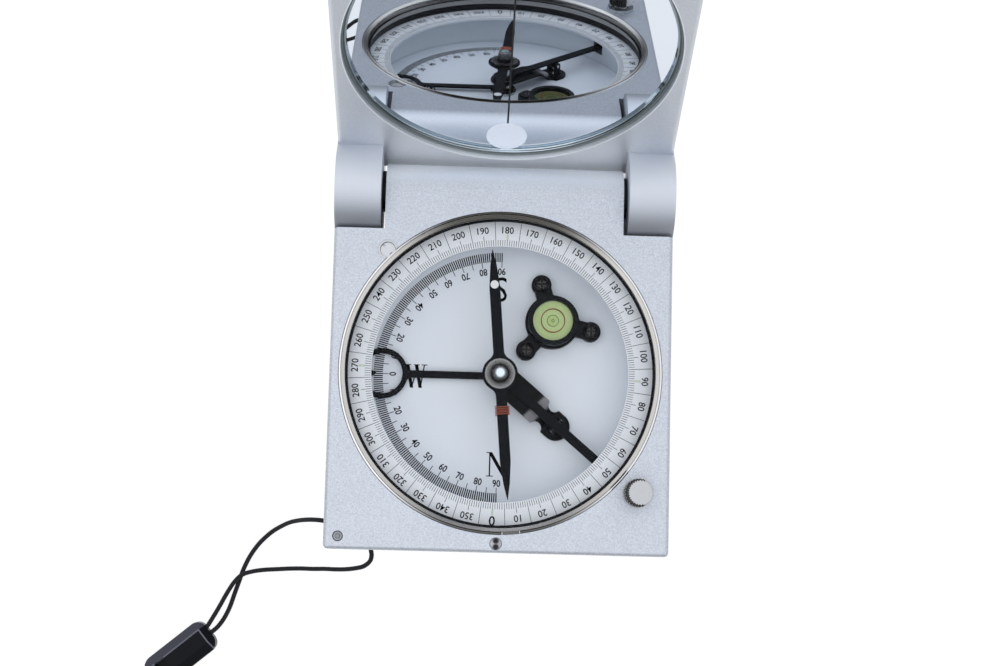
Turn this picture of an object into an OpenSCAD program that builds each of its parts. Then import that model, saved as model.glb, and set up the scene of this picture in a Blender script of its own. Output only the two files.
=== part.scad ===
// Pocket geological compass with a mirror lid, drawn open.
// The origin is on the underside, below the dial's axis, with +Y towards the hinge.

/* [Case] */
// Width of the case and of the lid
case_w = 73; // [72.5:0.1:78]
// From the dial's axis to the front face
case_front = 38.4; // [38:0.1:42]
// Height of the case
case_h = 20; // [19.5:0.1:24]
// Depth of the dial plate's floor below the top face
well_depth = 13.8; // [13.5:0.1:15]
// Radius on the outer edges
edge_r = 0.9; // [0.4:0.1:1.1]
// Radius of the front corners seen from above
corner_r = 1.2; // [1:0.1:2.5]

/* [Hinge and lid] */
// From the dial's axis back to the hinge axis
hinge_y = 39.4; // [38.5:0.1:43]
// Radius of the case's barrel, which is flush with the top face
barrel_r = 6; // [5.5:0.1:6.5]
// From the hinge axis to the rear face of the case
rear_y = 5.2; // [3:0.1:6]
// Width of each lid leg
leg_w = 9.9; // [8:0.1:12]
// Radius of the legs' round ends
leg_r = 10.45; // [9.5:0.05:11]
// Thickness of the lid
lid_t = 9; // [8:0.1:11]
// Radius of the lid's rear outer edge
lid_rear_r = 5.5; // [3:0.1:6]
// Depth of the mirror's recess in the lid
recess_depth = 3.3; // [3:0.1:4]
// Thickness of the mirror glass
mirror_t = 2; // [1.5:0.1:2.4]
// Radius of the sight window in the mirror
sight_r = 4.35; // [3:0.05:5]
// Distance of the sight window's centre from the hinge axis
sight_a = 10.34; // [10:0.01:12]
// Radius of the hinge pins
hinge_pin_r = 2; // [1.5:0.1:2.5]
// Width of the gap that the hinge washer fills
washer_gap = 0.9; // [0.6:0.1:1.5]
// Angle to which the lid stands open
lid_open = 115.5; // [0:0.5:120]

/* [Window and dial] */
// Outer radius of the window's rim
bezel_r = 34.55; // [34.3:0.05:35]
// Width of the bezel's sloping band
band_w = 0.75; // [0.5:0.05:1]
// Depth of the window's seat below the top face
seat_depth = 1.8; // [1.6:0.1:2.2]
// Thickness of the window glass
glass_t = 1.1; // [0.8:0.1:1.3]
// Depth of the graduated ring's ledge below the top face
ring_depth = 5.6; // [5.4:0.1:6]
// Inner radius of the graduated ring
ring_in_r = 27.76; // [27.6:0.02:29]
// Thickness of the graduated ring above its gear rim
ring_t = 0.63; // [0.5:0.01:0.8]
// Radius of the dial plate
dial_r = 31.6; // [30.5:0.1:31.8]
// Thickness of the dial plate
dial_t = 1.2; // [0.8:0.1:1.4]

/* [Declination adjuster] */
// Teeth on a whole turn of the graduated ring
ring_teeth = 212; // [200:1:220]
// Teeth on the pinion
pinion_teeth = 11; // [11:1:13]
// Direction of the adjuster from the dial's axis
adjuster_az = 134.15; // [125:0.01:140]
// Radius of the adjuster's slotted head
adjuster_head_r = 1.6; // [1.3:0.05:1.65]
// Travel of the graduated ring to each side
ring_travel = 30; // [10:1:40]

/* [Needle] */
// Length of the needle from the axis to its tips
needle_len = 27.2; // [24:0.1:27.4]
// Width of the needle's arms
needle_w = 2.34; // [1.6:0.02:2.8]
// Thickness of the needle
needle_t = 0.4; // [0.3:0.05:0.5]
// Angle of the needle from the dial's zero line
needle_turn = 4.9; // [-30:0.1:30]
// Radius of the needle's eye
needle_eye_r = 3.85; // [3.6:0.05:4.4]
// Radius of the white dot on the needle
dot_r = 0.9; // [0.5:0.05:1.1]
// Length of the balance winding along the needle
coil_len = 2.17; // [1.5:0.01:3]
// Distance of the winding's centre from the axis
coil_pos = 8.05; // [7:0.05:14]

/* [Needle lock] */
// Distance of the lock button from the dial's axis
button_dist = 38.82; // [38.6:0.02:40]
// Direction of the lock button from the dial's axis
button_az = -40.2; // [-43:0.1:-37]
// Radius of the button's knurled cap
button_r = 3; // [2.6:0.05:3.2]
// Travel of the button
button_travel = 0.8; // [0.4:0.05:0.85]
// Distance of the lever's pivot from the dial's axis
fulcrum_dist = 16.6; // [15.6:0.1:18]
// Width of the lift lever
lever_w = 2; // [1.4:0.05:2.1]
// Height of the lift lever's underside above the dial
lever_h = 3.65; // [3.55:0.05:3.8]

/* [Clinometer] */
// Radius at which the pointer's window ring lies
pointer_ring_dist = 25.66; // [24:0.02:25.8]
// Outer radius of the pointer's window ring
pointer_ring_r = 5.55; // [4.8:0.05:5.7]
// Width of the pointer's arm
pointer_w = 1.6; // [1:0.05:2.4]

/* [Round level] */
// Place of the level's centre
level_at = [11.4, 12.3];
// Radius of the level's body
level_r = 5.45; // [5:0.05:5.8]
// Height of the level above the dial
level_h = 5; // [4.2:0.1:5.6]
// Radius of the bubble
bubble_r = 1.33; // [0.8:0.01:1.6]

/* [Lanyard] */
// Diameter of the cord
cord_d = 1; // [0.8:0.05:1.1]
// Width of the moulded cord clip
clip_w = 7.3; // [6.5:0.1:8]
// Length of the moulded cord clip
clip_len = 16; // [14:0.5:20]

/* [Hidden] */
$fn = 72;
eps = 0.01;
run = 0.05;          // running clearance, on radius or height
slip = 0.03;         // clearance of a piece that is pressed or bonded in its seat
overcut = 1;         // how far a cutting body runs past a face

// Levels, upwards from the underside
top = case_h;
dial_bottom = top - well_depth;
dial_top = dial_bottom + dial_t;
ledge = top - ring_depth;
seat = top - seat_depth;
gear_t = 0.45;
ring_bottom = ledge + run;
ring_flange = ring_bottom + gear_t;
ring_top = ring_flange + ring_t;
spacer_t = 0.5;
snap_gap_az = -84.9;  // direction and angle of the gap in the snap ring
snap_gap = 6.4;
glass_bottom = seat + spacer_t;
glass_top = glass_bottom + glass_t;
band_t = 0.6;

// Radii of the window stack, inwards from the bezel
seat_r = bezel_r + run;
chamber_r = bezel_r - 0.25;
skirt_r = chamber_r - 0.1;
band_r = bezel_r - 0.6;
sight_band_r = band_r - band_w;
glass_r = band_r - slip;
well_r = dial_r + 0.2;
ring_out_r = chamber_r - 0.7;

// Hinge and lid, in the closed lid's own directions: a towards the front, d upwards
hinge_z = top - barrel_r;
lid_gap = 0.2;
lid_face = barrel_r + lid_gap;
lid_back = lid_face + lid_t;
lid_end = hinge_y + case_front;
leg_gap = 0.55;
leg_x = case_w/2 - leg_w;
barrel_x = leg_x - washer_gap;
pin_x0 = barrel_x - 7.7;
pin_x1 = case_w/2 - 0.1;
lid_centre_a = 1.2;
lid_rear_a = -1.5;
tangent_sink = 0.02;  // keeps the flat between the leg's two rounds clear of exact tangency
washer_r = 4.5;
recess_floor = lid_face + recess_depth;
coating_t = 0.18;
coating_gap = 0.02;
mirror_d1 = recess_floor - coating_t - coating_gap;
mirror_d0 = mirror_d1 - mirror_t;
mirror_r = bezel_r - 0.45;
mirror_bevel = 0.65;
gasket_w = 0.38;
sight_plug_t = 1.9;
sight_gap = 0.1;
sight_bore_r = sight_r - 0.45;

// Declination gear
ring_pitch_r = chamber_r - 0.38;
module_mm = 2*ring_pitch_r/ring_teeth;
pinion_pitch_r = module_mm*pinion_teeth/2;
gear_play = 0.03;
adjuster_dist = ring_pitch_r + pinion_pitch_r + gear_play;
pinion_tip_r = pinion_pitch_r + 0.9*module_mm;
pinion_root_r = pinion_pitch_r - 0.85*module_mm;
ring_tip_r = ring_pitch_r + 0.62*module_mm;
ring_root_r = ring_pitch_r - 1.12*module_mm;
pressure = 20;
backlash = 0.06;
pinion_t = gear_t + 0.3;
shaft_r = 0.9;
head_t = 1.25;
head_top = top - 0.5;
bush_r = pinion_tip_r + 0.05;
adjuster_bore_r = bush_r + slip;
head_bore_r = adjuster_head_r + 0.08;
bezel_bridge = head_top + 0.1;
tooth_margin = 6;
sector = ring_travel + tooth_margin;

// Needle and its lift, downwards from the graduated ring and the glass
needle_below = 0.28;
needle_top = ring_top - needle_below;
needle_bottom = needle_top - needle_t;
lift = button_travel*fulcrum_dist/(button_dist - fulcrum_dist);
cap_top = glass_bottom - lift - 0.1;
cap_flange_t = 0.3;
cap_flange_r = 3.3;
jewel_r = 0.9;
jewel_t = 0.7;
jewel_bottom = cap_top - 0.4 - jewel_t;
dimple_r = 0.45;
dimple_h = 0.35;
post_r = 1;
tip_r = 0.35;
post_base_r = 3.2;
post_base_t = 0.6;
needle_hole_r = post_r + 0.3;
shoulder_len = 19;
dot_pos = 19.47;

// Lift lever and its bracket
lever_t = 0.5;
lever_bottom = dial_top + lever_h;
lever_top = lever_bottom + lever_t;
lever_end = button_dist - 0.6;
lever_hub_r = 2.6;
lever_hub_hole = 1.5;
fulcrum_z = lever_bottom - 0.7;
fulcrum_r = 0.4;
lever_barrel_r = 0.8;
slot_w = lever_w + 1.2;
slot_below = 1.45;
slot_above = 1.05;
slot_in = dial_r - 0.4;
bracket_t = 0.5;
bracket_top = lever_bottom - 0.35;
bracket_half_w = 3.2;
bracket_drop = 0.6;
ear_t = 0.5;
ear_h = 0.85;
lift_tube_r = 1.6;
lift_bore_r = post_r + 0.15;
lift_flange_r = 2.9;
lift_flange_t = 0.4;
lift_free = 0.25;
lift_seat = 0.1;

// Lock button
button_at = button_dist*[cos(button_az), sin(button_az)];
button_foot_r = 2;
button_foot_t = 1.3;
button_foot = lever_top + 0.15;
stem_r = 1.25;
bush_out_r = 2.6;
bush_flange_t = 0.7;
cap_gap = button_travel + 0.1;
cap_bottom = top + bush_flange_t + cap_gap;
cap_h = 2.4;
knurls = 27;
spring_floor = top - 3.5;
spring_hole_r = 1.95;
wire_r = 0.18;
spring_r = 1.6;
spring_turns = 6;
pocket_r = button_r + 0.6;
pocket_d = cap_bottom + cap_h - hinge_z + 0.4;

// Clinometer
pointer_z = dial_top + post_base_t + 0.15;
pointer_t = 0.5;
pointer_hub_r = 2.6;
clino_bush_r = 1.7;
clino_bush_t = 0.95;
clip_ring_r = 1.9;
clip_ring_t = 0.3;

// Round level
ear_at = [[8.85, 20.5], [19.9, 10.35], [5.75, 5.9]];
ear_r = 2.2;
level_flange_t = 1.8;
level_bore_r = level_r - 1.05;
level_floor = dial_top + 1.6;
level_top = dial_top + level_h;
lens_t = 0.6;
lens_below = 0.4;
lens_bottom = level_top - lens_below - lens_t;
screw_head_r = 1.7;
screw_head_t = 1.1;
screw_shaft_r = 0.5;

// Lanyard: the routes' points are chosen along the photographed cord
cord_sides = 8;
cord_slot_at = [-case_w/2 + 4, -case_front + 1.5];
cord_slot_r = 7.6;
cord_slot_h = 3;
cord_z = 12;
lanyard_pin_at = [-case_w/2 + 3.1, -case_front + 2.75];
lanyard_pin_r = 1.1;
front_pin_at = [-0.1, -case_front + 1.95];
front_pin_r = 1.3;
pin_dome = 3;
clip_h = 4.6;
clip_at = [-61.9, -56.8];
clip_turn = 219.7;
clip_sockets = 0.78;
clip_socket_z = 2.3;
clip_side = 3.25;     // from the middle between the cords to the clip's left flank
bight_route = [[-36.3, -32.65, 12], [-34.9, -33, 12], [-32.5, -34.1, 12], [-30.2, -35.4, 12],
    [-28.3, -36.5, 12], [-27.1, -37.4, 12], [-26.8, -38.15, 12]];
left_route = [[-36.5, -32.6, 12], [-38.5, -32.4, 11.4], [-40.7, -32.4, 9.6], [-42.8, -32.6, 7.4],
    [-45, -33.1, 5.3], [-47, -34, 3.5], [-48.9, -35.1, 2], [-50.6, -36.5, 1], [-52.2, -38.2, 0.6],
    [-53.8, -40.6, 0.5], [-55.1, -43.4, 0.5], [-56, -46.2, 0.5], [-56.9, -49, 0.5],
    [-57.8, -51.9, 0.6], [-58.9, -54.4, 1.2], [-60.1, -56.2, 2], [-61.42, -57.4, 2.3],
    [-62.6, -58.4, 2.3]];
front_route = [[-26.7, -38.4, 12], [-26.5, -39.7, 11.8], [-26.9, -41, 11], [-28.3, -42.1, 9.7],
    [-30.2, -42.6, 8.2], [-32.4, -42.9, 6.6], [-34.7, -43, 5], [-37.2, -43, 3.5], [-39.7, -43.1, 2.3],
    [-42.3, -43.1, 1.4], [-45, -43.2, 0.9], [-47.8, -43.4, 0.8], [-50.5, -43.6, 1], [-53, -44, 1.5],
    [-55.3, -44.8, 1.75], [-57, -46.5, 1.6], [-58.5, -48.9, 1.2], [-59.8, -51.4, 1.1],
    [-61.1, -53.9, 1.6], [-62.4, -56.2, 2.3], [-63.5, -57.2, 2.3]];

// Vector helpers
function unit(v) = v/norm(v);
function tangent(p, i) = unit(p[min(i + 1, len(p) - 1)] - p[max(i - 1, 0)]);
function side_of(t) = unit(cross([0, 0, 1], t));
// Ring of points round one point of a route
function ring_points(c, t, r, n) =
    [for (k = [0:n - 1]) c + r*(cos(360*k/n)*side_of(t) + sin(360*k/n)*cross(t, side_of(t)))];

// Round tube swept along a route
module tube(route, r, sides) {
    n = len(route);
    points = [for (i = [0:n - 1]) each ring_points(route[i], tangent(route, i), r, sides)];
    walls = [for (i = [0:n - 2], k = [0:sides - 1]) let (a = i*sides, b = (k + 1)%sides)
        each [[a + k, a + sides + b, a + sides + k], [a + k, a + b, a + sides + b]]];
    caps = [for (k = [1:sides - 2]) each
        [[0, k + 1, k], [(n - 1)*sides, (n - 1)*sides + k, (n - 1)*sides + k + 1]]];
    polyhedron(points, concat(walls, caps), convexity = 6);
}

// Rectangle from corner p to corner q with round corners
module rounded(p, q, r) {
    translate([p[0] + r, p[1]]) square([q[0] - p[0] - 2*r, q[1] - p[1]]);
    translate([p[0], p[1] + r]) square([q[0] - p[0], q[1] - p[1] - 2*r]);
    for (x = [p[0] + r, q[0] - r], y = [p[1] + r, q[1] - r]) translate([x, y]) circle(r);
}

// Flat ring standing on a level
module annulus(z0, z1, r_out, r_in) {
    translate([0, 0, z0]) difference() {
        cylinder(h = z1 - z0, r = r_out);
        translate([0, 0, -overcut]) cylinder(h = z1 - z0 + 2*overcut, r = r_in);
    }
}

// Web with hollow sides that blends a round eye into a straight arm towards +Y
module eye_web(eye, half_w, f) {
    cx = half_w + f;
    cy = sqrt(pow(eye + f, 2) - cx*cx);
    difference() {
        polygon([[0, 0], [cx, cy], [-cx, cy]]);
        for (s = [-1, 1]) translate([s*cx, cy]) circle(f);
    }
}

// Body that is extruded along X from a drawing in Y and Z
module along_x(x0, x1) {
    translate([x0, 0, 0]) rotate([90, 0, 90]) linear_extrude(x1 - x0) children();
}

// Body that is extruded along Y from a drawing in X and Z
module along_y(y0, y1) {
    translate([0, y1, 0]) rotate([90, 0, 0]) linear_extrude(y1 - y0) children();
}

// Frame of the lid: children are drawn closed, with the hinge axis as origin
module in_lid() {
    translate([0, hinge_y, hinge_z]) rotate([-lid_open, 0, 0]) children();
}

// Outline of the case seen from the side
module case_side() {
    rear = hinge_y + rear_y;
    rounded([-case_front, 0], [hinge_y, top], edge_r);
    rounded([0, 0], [rear, hinge_z], edge_r);
    translate([0, hinge_z - 2*edge_r]) square([rear, 2*edge_r]);
    translate([hinge_y, hinge_z]) circle(barrel_r);
    translate([0, hinge_z]) square([hinge_y, barrel_r]);
}

// Space that the lid's legs turn in, seen from the side
module leg_space() {
    far = hinge_y + leg_r + overcut;
    translate([hinge_y, hinge_z]) circle(leg_r + leg_gap);
    translate([hinge_y - leg_r - leg_gap, -overcut]) square([far, hinge_z + overcut]);
    translate([hinge_y, -overcut]) square([far, top + 2*overcut]);
}

module case_block() {
    intersection() {
        linear_extrude(top) rounded([-case_w/2, -case_front],
            [case_w/2, hinge_y + barrel_r + 2*corner_r], corner_r);
        along_x(-case_w, case_w) case_side();
        along_y(-2*case_front, 2*hinge_y) rounded([-case_w/2, 0], [case_w/2, top], edge_r);
    }
}

module case_body() color("gainsboro") difference() {
    case_block();
    for (s = [0, 1]) mirror([s, 0, 0]) {
        along_x(barrel_x, case_w) leg_space();
        translate([pin_x0 - slip, hinge_y, hinge_z]) rotate([0, 90, 0])
            cylinder(h = case_w/2, r = hinge_pin_r + slip);
    }
    translate([0, 0, seat]) cylinder(h = seat_depth + overcut, r = seat_r);
    translate([0, 0, ledge]) cylinder(h = ring_depth, r = chamber_r);
    translate([0, 0, dial_bottom]) cylinder(h = well_depth, r = well_r);
    translate([0, 0, ledge]) rotate(adjuster_az) translate([adjuster_dist, 0, 0]) {
        cylinder(h = ring_depth + overcut, r = adjuster_bore_r);
        translate([0, 0, -1.4]) cylinder(h = 2, r = 0.5 + run);
    }
    rotate(button_az) {
        translate([slot_in, -slot_w/2, lever_bottom - slot_below])
            cube([button_dist - slot_in, slot_w, lever_t + slot_below + slot_above]);
        translate([button_dist, 0, lever_bottom - slot_below])
            cylinder(h = top, r = bush_out_r + slip);
    }
    translate([cord_slot_at[0], cord_slot_at[1], cord_z - cord_slot_h/2])
        cylinder(h = cord_slot_h, r = cord_slot_r);
    translate([lanyard_pin_at[0], lanyard_pin_at[1], 3])
        cylinder(h = top, r = lanyard_pin_r + slip);
    translate([front_pin_at[0], front_pin_at[1], top - 8])
        cylinder(h = top, r = front_pin_r + slip);
}

// Pin with a shallow domed end
module domed_pin(z0, z1, r) {
    intersection() {
        translate([0, 0, z0]) cylinder(h = z1 - z0, r = r);
        translate([0, 0, z1 - pin_dome]) union() {
            sphere(pin_dome);
            translate([0, 0, z0 - z1]) cylinder(h = z1 - z0, r = r + overcut);
        }
    }
}

module lanyard_pin() color("silver")
    translate([lanyard_pin_at[0], lanyard_pin_at[1], 0]) domed_pin(3 + slip, top, lanyard_pin_r);

module front_pin() color("silver")
    translate([front_pin_at[0], front_pin_at[1], 0]) domed_pin(top - 8 + slip, top, front_pin_r);

module dial_plate() color("aliceblue") translate([0, 0, dial_bottom]) difference() {
    cylinder(h = dial_t, r = dial_r);
    translate([0, 0, -overcut]) cylinder(h = dial_t + 2*overcut, r = post_r + 0.2 + slip);
    for (p = ear_at) translate([p[0], p[1], -overcut])
        cylinder(h = dial_t + 2*overcut, r = screw_shaft_r + slip);
    rotate(button_az) translate([fulcrum_dist, 0, 0]) {
        translate([0, 0, -overcut]) cylinder(h = dial_t + 2*overcut, r = 0.7 + slip);
        translate([0, 0, -overcut]) cylinder(h = 0.5 + overcut, r = 1.4 + slip);
    }
}

// Fan of straight-sided teeth about the adjuster's direction
module ring_teeth_fan() {
    step = 360/ring_teeth;
    count = ceil(sector/step);
    half = 90/ring_teeth - backlash/4/ring_pitch_r*180/PI;
    slope = tan(pressure)*180/PI;
    root = half + slope*(ring_pitch_r - ring_root_r)/ring_root_r;
    tip = half - slope*(ring_tip_r - ring_pitch_r)/ring_tip_r;
    teeth = [for (i = [-count:count]) each [
        ring_root_r*[cos(i*step - root), sin(i*step - root)],
        ring_tip_r*[cos(i*step - tip), sin(i*step - tip)],
        ring_tip_r*[cos(i*step + tip), sin(i*step + tip)],
        ring_root_r*[cos(i*step + root), sin(i*step + root)]]];
    edge = (count + 1)*step;
    polygon(concat([[0, 0]], [ring_root_r*[cos(-edge), sin(-edge)]], teeth,
        [ring_root_r*[cos(edge), sin(edge)]]));
}

// Sector of a circle to each side of +X
module pie(r, half_angle) {
    polygon(concat([[0, 0]], [for (k = [-4:4]) r*[cos(k*half_angle/4), sin(k*half_angle/4)]]));
}

module graduated_ring() color("white") {
    rim_in = well_r - 0.8;
    free = (ceil(sector*ring_teeth/360) + 0.5)*360/ring_teeth;
    annulus(ring_flange - eps, ring_top, ring_out_r, ring_in_r);
    translate([0, 0, ring_bottom]) rotate(adjuster_az) linear_extrude(gear_t) difference() {
        union() {
            difference() {
                circle(chamber_r - 0.08);
                pie(2*chamber_r, free);
            }
            ring_teeth_fan();
        }
        circle(rim_in);
    }
}

module spacer_ring() color("black") difference() {
    union() {
        annulus(seat, glass_bottom, bezel_r, sight_band_r);
        annulus(ring_top + 0.17, glass_bottom - eps, skirt_r, sight_band_r);
    }
    rotate(adjuster_az) translate([adjuster_dist, 0, 0]) cylinder(h = top, r = pinion_tip_r + 0.1);
}

module window_glass() color("lightcyan", 0.35)
    translate([0, 0, glass_bottom + slip]) cylinder(h = glass_t - 2*slip, r = glass_r);

// Bezel band that slopes down towards the window
module bezel_ring() color("silver") rotate_extrude() translate([0, glass_top])
    polygon([[sight_band_r, 0], [band_r - slip, 0], [band_r - slip, band_t - 0.05],
        [band_r - slip - 0.1, band_t], [sight_band_r, band_t/3]]);

// Sprung ring with a gap towards the front, hollowed below for the adjuster's head
module snap_ring() color("silver") difference() {
    rim = bezel_r - band_r;
    rim_t = seat_depth - spacer_t + 0.05 - slip;
    edge = 0.22;
    rotate_extrude() translate([band_r, glass_bottom + slip]) polygon([[0, 0], [rim, 0],
        [rim, rim_t - edge], [rim - edge/3, rim_t - edge/3], [rim - edge, rim_t], [edge, rim_t],
        [edge/3, rim_t - edge/3], [0, rim_t - edge]]);
    rotate(adjuster_az) translate([adjuster_dist, 0, 0])
        cylinder(h = bezel_bridge, r = pinion_tip_r + 0.1);
    rotate(snap_gap_az) linear_extrude(2*top) pie(2*bezel_r, snap_gap/2);
}

function involute(r, base) = sqrt(pow(r/base, 2) - 1)*180/PI - acos(base/r);

// One flank point of a pinion tooth at radius r
function flank(r, mid, side) = let (
    base = pinion_pitch_r*cos(pressure),
    half = 90/pinion_teeth - backlash/4/pinion_pitch_r*180/PI,
    turn = half + involute(pinion_pitch_r, base) - involute(max(r, base + eps), base))
    r*[cos(mid + side*turn), sin(mid + side*turn)];

module declination_pinion() color("gold") rotate(adjuster_az) translate([adjuster_dist, 0, 0]) {
    steps = 4;
    radii = [for (k = [0:steps]) pinion_root_r + (pinion_tip_r - pinion_root_r)*k/steps];
    outline = [for (i = [0:pinion_teeth - 1]) let (mid = 180 + (i + 0.5)*360/pinion_teeth) each
        concat([for (k = [0:steps]) flank(radii[k], mid, -1)],
            [for (k = [steps:-1:0]) flank(radii[k], mid, 1)])];
    translate([0, 0, ring_bottom]) linear_extrude(pinion_t) polygon(outline);
    translate([0, 0, ledge - 1.3]) cylinder(h = 2, r = 0.5);
    translate([0, 0, ring_bottom]) cylinder(h = head_top - ring_bottom - eps, r = shaft_r);
    difference() {
        translate([0, 0, head_top - head_t]) cylinder(h = head_t, r = adjuster_head_r);
        translate([-2, -0.25, head_top - 0.6]) cube([4, 0.5, overcut]);
    }
}

module pinion_bush() color("silver") difference() {
    rotate(adjuster_az) translate([adjuster_dist, 0, 0]) {
        z0 = ring_bottom + pinion_t + run;
        difference() {
            translate([0, 0, z0]) cylinder(h = top - run - z0, r = bush_r);
            cylinder(h = 2*top, r = shaft_r + run);
            translate([0, 0, head_top - head_t - run]) cylinder(h = top, r = head_bore_r);
        }
    }
    cylinder(h = 2*top, r = seat_r);
}

module pivot_post() color("silver") {
    z1 = dial_top + post_base_t;
    tip = jewel_bottom + dimple_h - 0.15;
    stem_top = needle_bottom - 0.35;
    translate([0, 0, dial_bottom + slip]) cylinder(h = dial_t + eps, r = post_r + 0.2);
    translate([0, 0, dial_top]) cylinder(h = post_base_t, r = post_base_r);
    translate([0, 0, z1 - eps]) cylinder(h = stem_top - z1, r = post_r);
    rotate_extrude() polygon([[0, stem_top - 0.5], [post_r, stem_top - 0.5],
        [post_r, stem_top], [tip_r, stem_top + 0.6], [tip_r, tip - 0.5], [0.06, tip], [0, tip]]);
}

module clinometer_pointer() color("black") translate([0, 0, pointer_z]) rotate(90) {
    index_r = 26.85;
    linear_extrude(pointer_t) difference() {
        union() {
            circle(pointer_hub_r);
            eye_web(pointer_hub_r, pointer_w/2, 1);
            translate([-pointer_w/2, 0]) square([pointer_w, pointer_ring_dist - pointer_ring_r + 0.6]);
            intersection() {
                union() {
                    translate([0, pointer_ring_dist]) circle(pointer_ring_r);
                    translate([0, pointer_ring_dist]) rotate(180)
                        eye_web(pointer_ring_r, pointer_w/2, 1.2);
                }
                circle(dial_r - 1);
            }
        }
        circle(clino_bush_r + slip);
        difference() {
            translate([0, pointer_ring_dist]) circle(pointer_ring_r - 1.15);
            polygon([[0, index_r], [-0.8, index_r + 1.5], [-0.8, 2*dial_r], [0.8, 2*dial_r],
                [0.8, index_r + 1.5]]);
        }
    }
}

module clinometer_bush() color("goldenrod")
    annulus(dial_top + post_base_t + run, dial_top + post_base_t + run + clino_bush_t,
        clino_bush_r, post_r + run);

module retaining_clip() color("silver") {
    z0 = dial_top + post_base_t + run + clino_bush_t + 0.1;
    difference() {
        annulus(z0, z0 + clip_ring_t, clip_ring_r, post_r + slip);
        translate([-0.6, 0, z0 - overcut]) cube([1.2, 3, 3]);
    }
}

// Sheet bracket that reaches from its foot to a ring round the post
module lever_bracket() color("black") rotate(button_az) {
    bend = fulcrum_dist - 7.8;
    corner = fulcrum_dist - 4.76;
    foot_in = fulcrum_dist - 2.8;
    foot_r = 3.1;
    foot_t = 0.6;
    notch_r = 1.4;
    low = bracket_top - bracket_drop;
    difference() {
        intersection() {
            translate([0, 0, dial_top]) linear_extrude(bracket_top) difference() {
                union() {
                    circle(bracket_half_w);
                    translate([0, -bracket_half_w]) square([corner, 2*bracket_half_w]);
                    translate([corner - eps, -foot_r]) square([fulcrum_dist - corner, 2*foot_r]);
                    translate([fulcrum_dist, 0]) circle(foot_r);
                }
                circle(2*post_r);
                for (s = [-1, 1]) translate([fulcrum_dist - 3.2, s*(foot_r + 0.15)]) circle(notch_r);
            }
            along_y(-10, 10) polygon([[-5, bracket_top], [bend, bracket_top], [corner, low],
                [corner + 0.4, low], [foot_in + 0.5, dial_top + foot_t], [fulcrum_dist + 5, dial_top + foot_t],
                [fulcrum_dist + 5, dial_top], [foot_in, dial_top], [corner - 0.1, low - bracket_t],
                [bend, bracket_top - bracket_t], [-5, bracket_top - bracket_t]]);
        }
        translate([fulcrum_dist, 0, 0]) cylinder(h = top, r = 0.7);
    }
    for (s = [0, 1]) mirror([0, s, 0]) difference() {
        y0 = lever_w/2 + 0.1;
        along_y(y0, y0 + ear_t) union() {
            translate([fulcrum_dist, fulcrum_z]) circle(ear_h);
            translate([fulcrum_dist - ear_h, dial_top + eps])
                square([2*ear_h, fulcrum_z - dial_top - eps]);
        }
        translate([fulcrum_dist, 10, fulcrum_z]) rotate([90, 0, 0])
            cylinder(h = 20, r = fulcrum_r + slip);
    }
}

module fulcrum_pin() color("silver") rotate(button_az)
    translate([fulcrum_dist, 0, fulcrum_z]) rotate([90, 0, 0])
        cylinder(h = lever_w + 2*ear_t + 0.4, r = fulcrum_r, center = true);

module bracket_screw() color("silver") rotate(button_az) translate([fulcrum_dist, 0, 0]) {
    translate([0, 0, dial_bottom + slip]) cylinder(h = 0.5 - slip, r = 1.4);
    translate([0, 0, dial_bottom + slip]) cylinder(h = dial_t + 0.6, r = 0.7 - slip);
}

module lift_lever() color("black") rotate(button_az) difference() {
    union() {
        translate([0, 0, lever_bottom]) linear_extrude(lever_t) {
            circle(lever_hub_r);
            rotate(-90) eye_web(lever_hub_r, lever_w/2, 0.8);
            translate([0, -lever_w/2]) square([lever_end - lever_w/2, lever_w]);
            translate([lever_end - lever_w/2, 0]) circle(lever_w/2);
        }
        translate([fulcrum_dist, 0, fulcrum_z]) rotate([90, 0, 0])
            cylinder(h = lever_w, r = lever_barrel_r, center = true);
    }
    cylinder(h = 2*top, r = lever_hub_hole);
    translate([fulcrum_dist, 0, fulcrum_z]) rotate([90, 0, 0])
        cylinder(h = 2*lever_w, r = fulcrum_r + run, center = true);
}

module lift_ring() color("silver") {
    flange_top = needle_bottom - lift_free;
    annulus(lever_top + lift_seat, flange_top, lift_tube_r, lift_bore_r);
    annulus(flange_top - lift_flange_t, flange_top, lift_flange_r, lift_bore_r);
}

// Needle turned so that its marked end points to the dial's zero
module on_needle() {
    rotate(needle_turn) children();
}

module needle_arm() {
    w = needle_w/2;
    eye_web(needle_eye_r, w, 2);
    polygon([[-w, 0], [w, 0], [w, shoulder_len], [0.6*w, shoulder_len + 0.57*(needle_len - shoulder_len)],
        [0.05, needle_len], [-0.05, needle_len],
        [-0.6*w, shoulder_len + 0.57*(needle_len - shoulder_len)], [-w, shoulder_len]]);
}

module needle() color("darkslategray") on_needle() translate([0, 0, needle_bottom]) difference() {
    linear_extrude(needle_t) difference() {
        union() {
            circle(needle_eye_r);
            needle_arm();
            rotate(180) needle_arm();
        }
        circle(needle_hole_r);
    }
    translate([0, dot_pos, needle_t - 0.1]) cylinder(h = overcut, r = dot_r + slip);
}

module needle_dot() color("white") on_needle()
    translate([0, dot_pos, needle_top - 0.1 + slip]) cylinder(h = 0.12, r = dot_r);

module needle_cap() color("lightgray") difference() {
    z0 = needle_top;
    z1 = z0 + cap_flange_t;
    rotate_extrude() polygon([[0, z0], [cap_flange_r - 0.2, z0], [cap_flange_r, z0 + 0.12],
        [cap_flange_r, z1], [2.2, z1], [1.95, z1 + 0.1], [1.4, cap_top - 0.15], [1.25, cap_top],
        [0, cap_top]]);
    translate([0, 0, z0 - overcut]) cylinder(h = jewel_bottom + jewel_t + slip - z0 + overcut,
        r = jewel_r + slip);
}

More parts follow.
